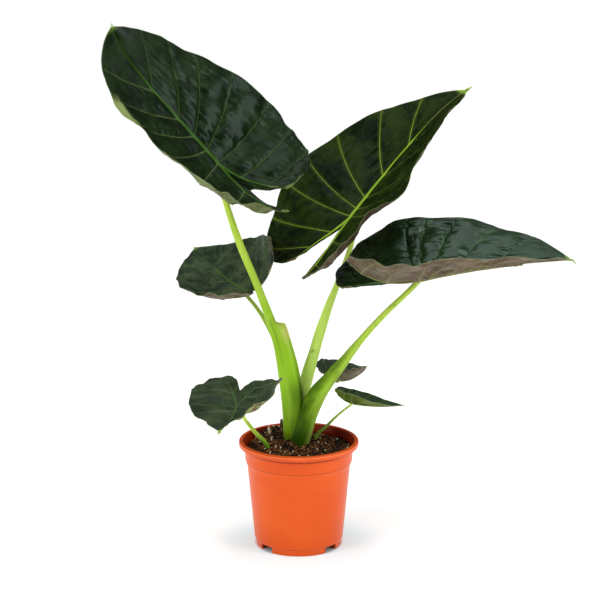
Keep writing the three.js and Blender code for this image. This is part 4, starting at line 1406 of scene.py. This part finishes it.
# The soil's sides, just inside the pot's wall: [radius, height]. The mounds on it: [x, y, size, height].
SOIL_SIDES = [[59.4, 7.85], [62.6, 11.35], [72.7, 119.95], [75.9, 127.95], [76.6, SOIL_EDGE - 0.5]]
MOUNDS = [[-8, 22, 30, 9], [-38, 50, 22, 14], [10, -5, 40, 3]]


def soil_height(x, y):
    """Height of the soil at a place, before its lumps."""
    height = SOIL_EDGE + 1
    for middle_x, middle_y, size, rise in MOUNDS:
        height = height + rise * np.exp(-((x - middle_x) ** 2 + (y - middle_y) ** 2) / (size * size))
    return height + (0.9 * np.sin(0.31 * x + 0.17 * y) + 0.8 * np.sin(0.23 * y - 0.37 * x + 1.3))


def soil_surface(radii, sides):
    """Rings of points over the crumbly top of the soil, from the edge to the middle."""
    angle = circle_angles(sides)
    x = radii[:, None] * np.cos(angle)
    y = radii[:, None] * np.sin(angle)
    lumps = 1.1 * hills(x / 6, y / 6, 71) + 0.8 * hills(x / 3, y / 3, 72) + 0.5 * hills(x / 1.6, y / 1.6, 73)
    z = soil_height(x, y) + 1.2 * lumps
    return np.stack([x, y, z], -1).reshape(-1, 3)


def make_soil(finish):
    """The whole body of soil that fills the pot, crumbly on top."""
    sides = 180
    angle = circle_angles(sides)
    walls = [np.stack([r * np.cos(angle), r * np.sin(angle), z + 0 * angle], -1) for r, z in SOIL_SIDES]
    radii = np.linspace(75.4, 1.2, 60)
    points = np.concatenate([*walls, soil_surface(radii, sides)])
    rings = len(walls) + len(radii)
    bottom = [0, 0, SOIL_SIDES[0][1]]
    points = np.concatenate([points, [bottom, points[-sides:].mean(0)]])
    low = len(points) - 2
    faces = ring_faces(rings, sides) + fan_caps(sides, (rings - 1) * sides, low, low + 1)
    add_piece("soil_bed", make_mesh("soil_bed", points, faces), [finish], ["soil"])


def crumb_tree():
    """Lumps strewn over a surface, each turned, stretched and dented its own way."""
    tree = Tree("strewn_crumbs", {
        "Density": "Float", "Size": "Float", "Size Spread": "Float", "Stretch": "Float", "Dent": "Float",
        "Lift": "Float", "Faces": "Int", "Seed": "Int", "Material": "Material",
    })
    given = tree.given
    raised = tree.out("GeometryNodeSetPosition", {
        "Geometry": tree.strewn_spots(), "Offset": tree.out("ShaderNodeCombineXYZ", {"Z": given["Lift"]}),
    })
    lump = tree.out("GeometryNodeMeshIcoSphere", {"Radius": 1.0, "Subdivisions": given["Faces"]}, "Mesh")
    size = tree.random_size(
        tree.math("SUBTRACT", given["Size"], given["Size Spread"]),
        tree.math("ADD", given["Size"], given["Size Spread"]),
    )
    stretch = tree.out("ShaderNodeCombineXYZ", {"X": given["Stretch"], "Y": 1.0, "Z": 0.75})
    lumps = tree.out("GeometryNodeInstanceOnPoints", {
        "Points": raised, "Instance": lump, "Rotation": tree.random_turn((math.pi,) * 3),
        "Scale": tree.out("ShaderNodeVectorMath", {0: stretch, "Scale": size}, operation="SCALE"),
    })
    real = tree.out("GeometryNodeRealizeInstances", {"Geometry": lumps})

    # dents: every point is shifted by noise that goes both ways
    noise = tree.out("ShaderNodeTexNoise", {"Scale": 420.0, "Detail": 2.0}, "Color")
    level = tree.out("ShaderNodeVectorMath", {0: noise, 1: (0.5, 0.5, 0.5)}, operation="SUBTRACT")
    shift = tree.out("ShaderNodeVectorMath", {0: level, "Scale": given["Dent"]}, operation="SCALE")
    tree.end_in(tree.out("GeometryNodeSetPosition", {"Geometry": real, "Offset": shift}))
    return tree


def fibre_tree():
    """Short bent fibres lying over a surface."""
    tree = Tree("strewn_fibres", {
        "Density": "Float", "Length": "Float", "Thickness": "Float", "Seed": "Int", "Material": "Material",
    })
    given = tree.given
    bow = tree.out("GeometryNodeCurveArc", {
        "Resolution": 6, "Radius": given["Length"], "Sweep Angle": 1.3,
    }, "Curve")
    strands = tree.out("GeometryNodeInstanceOnPoints", {
        "Points": tree.strewn_spots(), "Instance": bow, "Rotation": tree.random_turn((0.5, 0.5, math.pi)),
        "Scale": tree.random_size(0.4, 1.3),
    })
    real = tree.out("GeometryNodeRealizeInstances", {"Geometry": strands})
    profile = tree.out("GeometryNodeCurvePrimitiveCircle", {"Resolution": 4, "Radius": given["Thickness"]})
    tree.end_in(tree.out("GeometryNodeCurveToMesh", {
        "Curve": real, "Profile Curve": profile, "Fill Caps": True,
    }))
    return tree


def strewing_ground(name):
    """The open top of the soil, from near the wall inwards, for crumbs to lie on."""
    sides = 90
    radii = np.linspace(74, 4, 30)
    return make_mesh(name, soil_surface(radii, sides), ring_faces(len(radii), sides))


# What lies on the soil: its finish, pieces to the square metre, then size, spread of sizes, dent and lift in
# millimetres, how many times as long as wide, and the seed.
LITTER = {
    "soil_crumbs": ["peat", 180000, 0.7, 0.35, 1.6, 0.3, 3.0, 3],
    "soil_lumps": ["lump", 42000, 1.3, 0.6, 2.6, 0, 1.8, 4],
    "soil_chips": ["chip", 15000, 0.6, 0.25, 0.5, 1.3, 2.5, 5],
    "soil_granules": ["granule", 3000, 1.0, 0.5, 0.6, 1.8, 1.7, 6],
}
# The fibres on it: pieces to the square metre, radius of their bend and of their section in metres, and seed.
FIBRES = dict(Density=52000.0, Length=4.2 * MM, Thickness=0.16 * MM, Seed=8)


def make_litter(finishes):
    """Peat crumbs, bark chips, white granules and coir fibres over the soil."""
    crumbs = crumb_tree()
    for name, (finish, density, size, spread, dent, lift, stretch, seed) in LITTER.items():
        grown = crumbs.grow(
            strewing_ground(name), Density=float(density), Size=size * MM, Size_Spread=spread * MM,
            Stretch=float(stretch), Dent=dent * MM, Lift=lift * MM, Faces=1, Seed=seed,
            Material=finishes[finish],
        )
        grown.shade_smooth()
        add_piece(name, grown, [])
    grown = fibre_tree().grow(strewing_ground("soil_fibres"), Material=finishes["fibre"], **FIBRES)
    grown.shade_smooth()
    add_piece("soil_fibres", grown, [])


# The dead stub: its foot, how it thins as [height, part of the radius], and where it starts to fray.
STUB_PLACE = [-24, 44]
STUB_RADIUS = 2.6
STUB_TAPER = [[148, 1], [160, 1], [168, 0.9], [173, 0.45]]
STUB_FRAYS = 166


def make_stub(finish):
    """The brown remains of an old stalk, frayed at its top."""
    sides = 18
    angle = circle_angles(sides)
    levels, parts = zip(*STUB_TAPER)
    heights = np.linspace(levels[0], levels[-1], 16)
    rings = []
    for z in heights:
        thick = STUB_RADIUS * np.interp(z, levels, parts)
        r = thick * (1 + 0.16 * hills(angle * 2.2, z / 5, 81))
        frayed = smooth((z - STUB_FRAYS) / 7) * 2.2 * hills(angle * 3.1, 0, 82)
        x = STUB_PLACE[0] + r * np.cos(angle) - 0.15 * (z - 160)
        rings.append(np.stack([x, STUB_PLACE[1] + r * np.sin(angle), z + frayed], -1))
    hollow = [0, 0, 2.5]  # its top is sunk in the middle
    points = np.concatenate([*rings, [rings[0].mean(0), rings[-1].mean(0) - hollow]])
    low = len(points) - 2
    faces = ring_faces(len(rings), sides) + fan_caps(sides, low - sides, low, low + 1)
    mesh = make_mesh("dead_stalk_stub", points, faces)
    add_piece("dead_stalk_stub", mesh, [finish], ["dead_stub"])


# Pale chips that stand in the soil: [x, y, foot, height, half width, lean to the right, turn in degrees].
HUSKS = [
    [-42, 36, 151, 15, 2.6, -0.15, 0],
    [18, 33, 147, 8, 1.5, -0.5, 40],
]
# A husk's section: [across, in parts of its half width, and back], round a shallow gutter.
HUSK_SECTION = [[-1, 0.35], [-0.4, 0], [0.4, 0], [1, 0.35], [0.4, 0.7], [-0.4, 0.7]]


def make_husks(finish):
    """Thin curved chips, pointed at the top."""
    count = 8
    corners = len(HUSK_SECTION)
    points, faces = [], []
    for x, y, foot, height, half, lean, turn in HUSKS:
        start = len(points)
        ahead = np.array([math.cos(math.radians(turn)), math.sin(math.radians(turn)), 0.0])
        aside = np.array([-ahead[1], ahead[0], 0.0])
        for i in range(count + 1):
            part = i / count
            wide = half * (1 - part**3) + 0.15
            middle = np.array([x + lean * height * part, y, foot + height * part]) + 0.8 * aside * part**2
            for across, back in HUSK_SECTION:
                points.append(middle + wide * across * ahead + (back - 0.35) * aside)
        faces += [tuple(start + i for i in face) for face in ring_faces(count + 1, corners)]
        faces.append(tuple(start + j for j in reversed(range(corners))))
        faces.append(tuple(start + count * corners + j for j in range(corners)))
    add_piece("soil_husks", make_mesh("soil_husks", np.array(points), faces), [finish])


# --------------------------------------------------------------------------------- camera and studio

CAMERA_PLACE = [1.8, -2200, 840]
CAMERA_PITCH = 12.25  # degrees below level
CAMERA_LENS = 95.04
CAMERA_SENSOR = 36
FLOOR_SIZE = 60  # metres from its middle to each edge
OVERHEAD = 1.75  # strength of the light from above, which comes from a wide patch of sky
OVERHEAD_WIDTH = 70  # degrees across
SURROUNDING = 0.12  # strength of the light from all round

# Lamps about the pot, in metres and watts: [place, size, power, where it aims].
SOFTBOXES = {
    "softbox_left": [(-1.8, -1.3, 1.5), (1.2, 1.8), 34, (0, 0, 0.35)],
    "softbox_right": [(1.9, -1.1, 1.3), (1.2, 1.8), 28, (0, 0, 0.35)],
    "softbox_high": [(1.9, 0.3, 2.0), (0.9, 0.9), 2.4, (-0.1, 0.0, 0.55)],
}


def placed(name, data, place=(0, 0, 0), turn=(0, 0, 0)):
    """A new object in the scene."""
    thing = bpy.data.objects.new(name, data)
    thing.location = place
    thing.rotation_euler = turn
    bpy.context.scene.collection.objects.link(thing)
    return thing


def make_camera():
    """The camera stands in front, a little above the plant's middle, and looks down slightly."""
    camera = bpy.data.cameras.new("camera")
    camera.sensor_width = CAMERA_SENSOR
    camera.lens = CAMERA_LENS
    camera.clip_end = 200
    pitch = math.radians(90 - CAMERA_PITCH)
    place = POT_AXIS + np.array(CAMERA_PLACE) * MM
    bpy.context.scene.camera = placed("camera", camera, place, (pitch, 0, 0))


def make_floor():
    """A pale floor that glows a little, so that it is evenly light, with a painted soft shadow round the pot.
    """
    mesh = bpy.data.meshes.new("floor")
    corners = [(-1, -1), (1, -1), (1, 1), (-1, 1)]
    mesh.from_pydata([(FLOOR_SIZE * x, FLOOR_SIZE * y, 0) for x, y in corners], [], [(0, 1, 2, 3)])
    floor = placed("floor", mesh)
    white = Finish("studio_floor", Roughness=0.9)

    def distance_from(place):
        """Metres from a place on the floor."""
        return white.out("ShaderNodeVectorMath", {0: white.place, 1: place}, "Value", operation="DISTANCE")

    # painted shadow: there is no glow under the pot, so that its notches look dark, and a weaker one round
    # it, centred a little in front of it; near the pot the glow is also bluer, to cancel the orange light the
    # pot throws
    foot = tuple(float(value) for value in POT_AXIS)
    away = distance_from(foot)
    around = distance_from((foot[0], foot[1] - 0.055, 0.0))
    outside = white.reshape(away, 0.06, 0.067)
    painted_light = white.math("MULTIPLY", white.reshape(around, 0.08, 0.17, 0.365, 0.53), outside)
    tint = white.blend(white.reshape(away, 0.075, 0.15), (0.62, 0.94, 1.0, 1.0), (1.0, 1.0, 1.0, 1.0))
    tone = white.blend(white.noise(white.place, 3.0), rgb(222, 222, 222), rgb(226, 226, 226))
    mesh.materials.append(white.use(Emission_Strength=painted_light, Emission_Color=tint, Base_Color=tone))


def make_lights():
    """Three soft lamps, a wide soft light from above, and a little light from all round."""
    for name, (place, size, power, aim) in SOFTBOXES.items():
        light = bpy.data.lights.new(name, "AREA")
        light.shape = "RECTANGLE"
        light.size, light.size_y = size
        light.energy = power
        toward = np.array(aim) - np.array(place)
        yaw = math.atan2(toward[1], toward[0]) - math.pi / 2
        tilt = math.atan2(math.hypot(toward[0], toward[1]), -toward[2])
        placed(name, light, POT_AXIS + np.array(place), (tilt, 0, yaw))
    overhead = bpy.data.lights.new("overhead", "SUN")
    overhead.energy = OVERHEAD
    overhead.angle = math.radians(OVERHEAD_WIDTH)
    placed("overhead", overhead, turn=(math.radians(6), 0, 0))

    world = bpy.data.worlds.new("studio")
    world.use_nodes = True
    background = world.node_tree.nodes["Background"]
    background.inputs["Color"].default_value = (1, 1, 1, 1)
    background.inputs["Strength"].default_value = SURROUNDING
    bpy.context.scene.world = world
    bpy.context.scene.view_settings.view_transform = "Standard"


# ----------------------------------------------------------------------------------- make the plant

make_camera()
make_floor()
make_lights()
make_pot(pot_finish())
make_soil(earth_finish("peat_bed", (8, 5, 3), (26, 16, 10), 0.9))
make_litter({
    "peat": earth_finish("peat_crumb", (8, 4, 2), (240, 162, 92), 0.82),
    "lump": earth_finish("peat_lump", (8, 4, 2), (150, 92, 48), 0.85),
    "chip": earth_finish("bark_chip", (140, 94, 54), (222, 178, 124), 0.75),
    "granule": earth_finish("white_granule", (232, 214, 186), (255, 246, 226), 0.8),
    "fibre": earth_finish("coir_fibre", (96, 62, 38), (176, 130, 84), 0.75),
})
make_husks(earth_finish("pale_husk", (240, 216, 176), (255, 244, 220), 0.75))
make_stub(earth_finish("dead_bark", (72, 58, 30), (138, 118, 66), 0.8, 300.0))
ribs = rib_tree()
for number, leaf in LEAVES.items():
    make_stalk(number, STALKS[number], leaf, stalk_finish(number))
    make_blade(number, leaf, ribs)
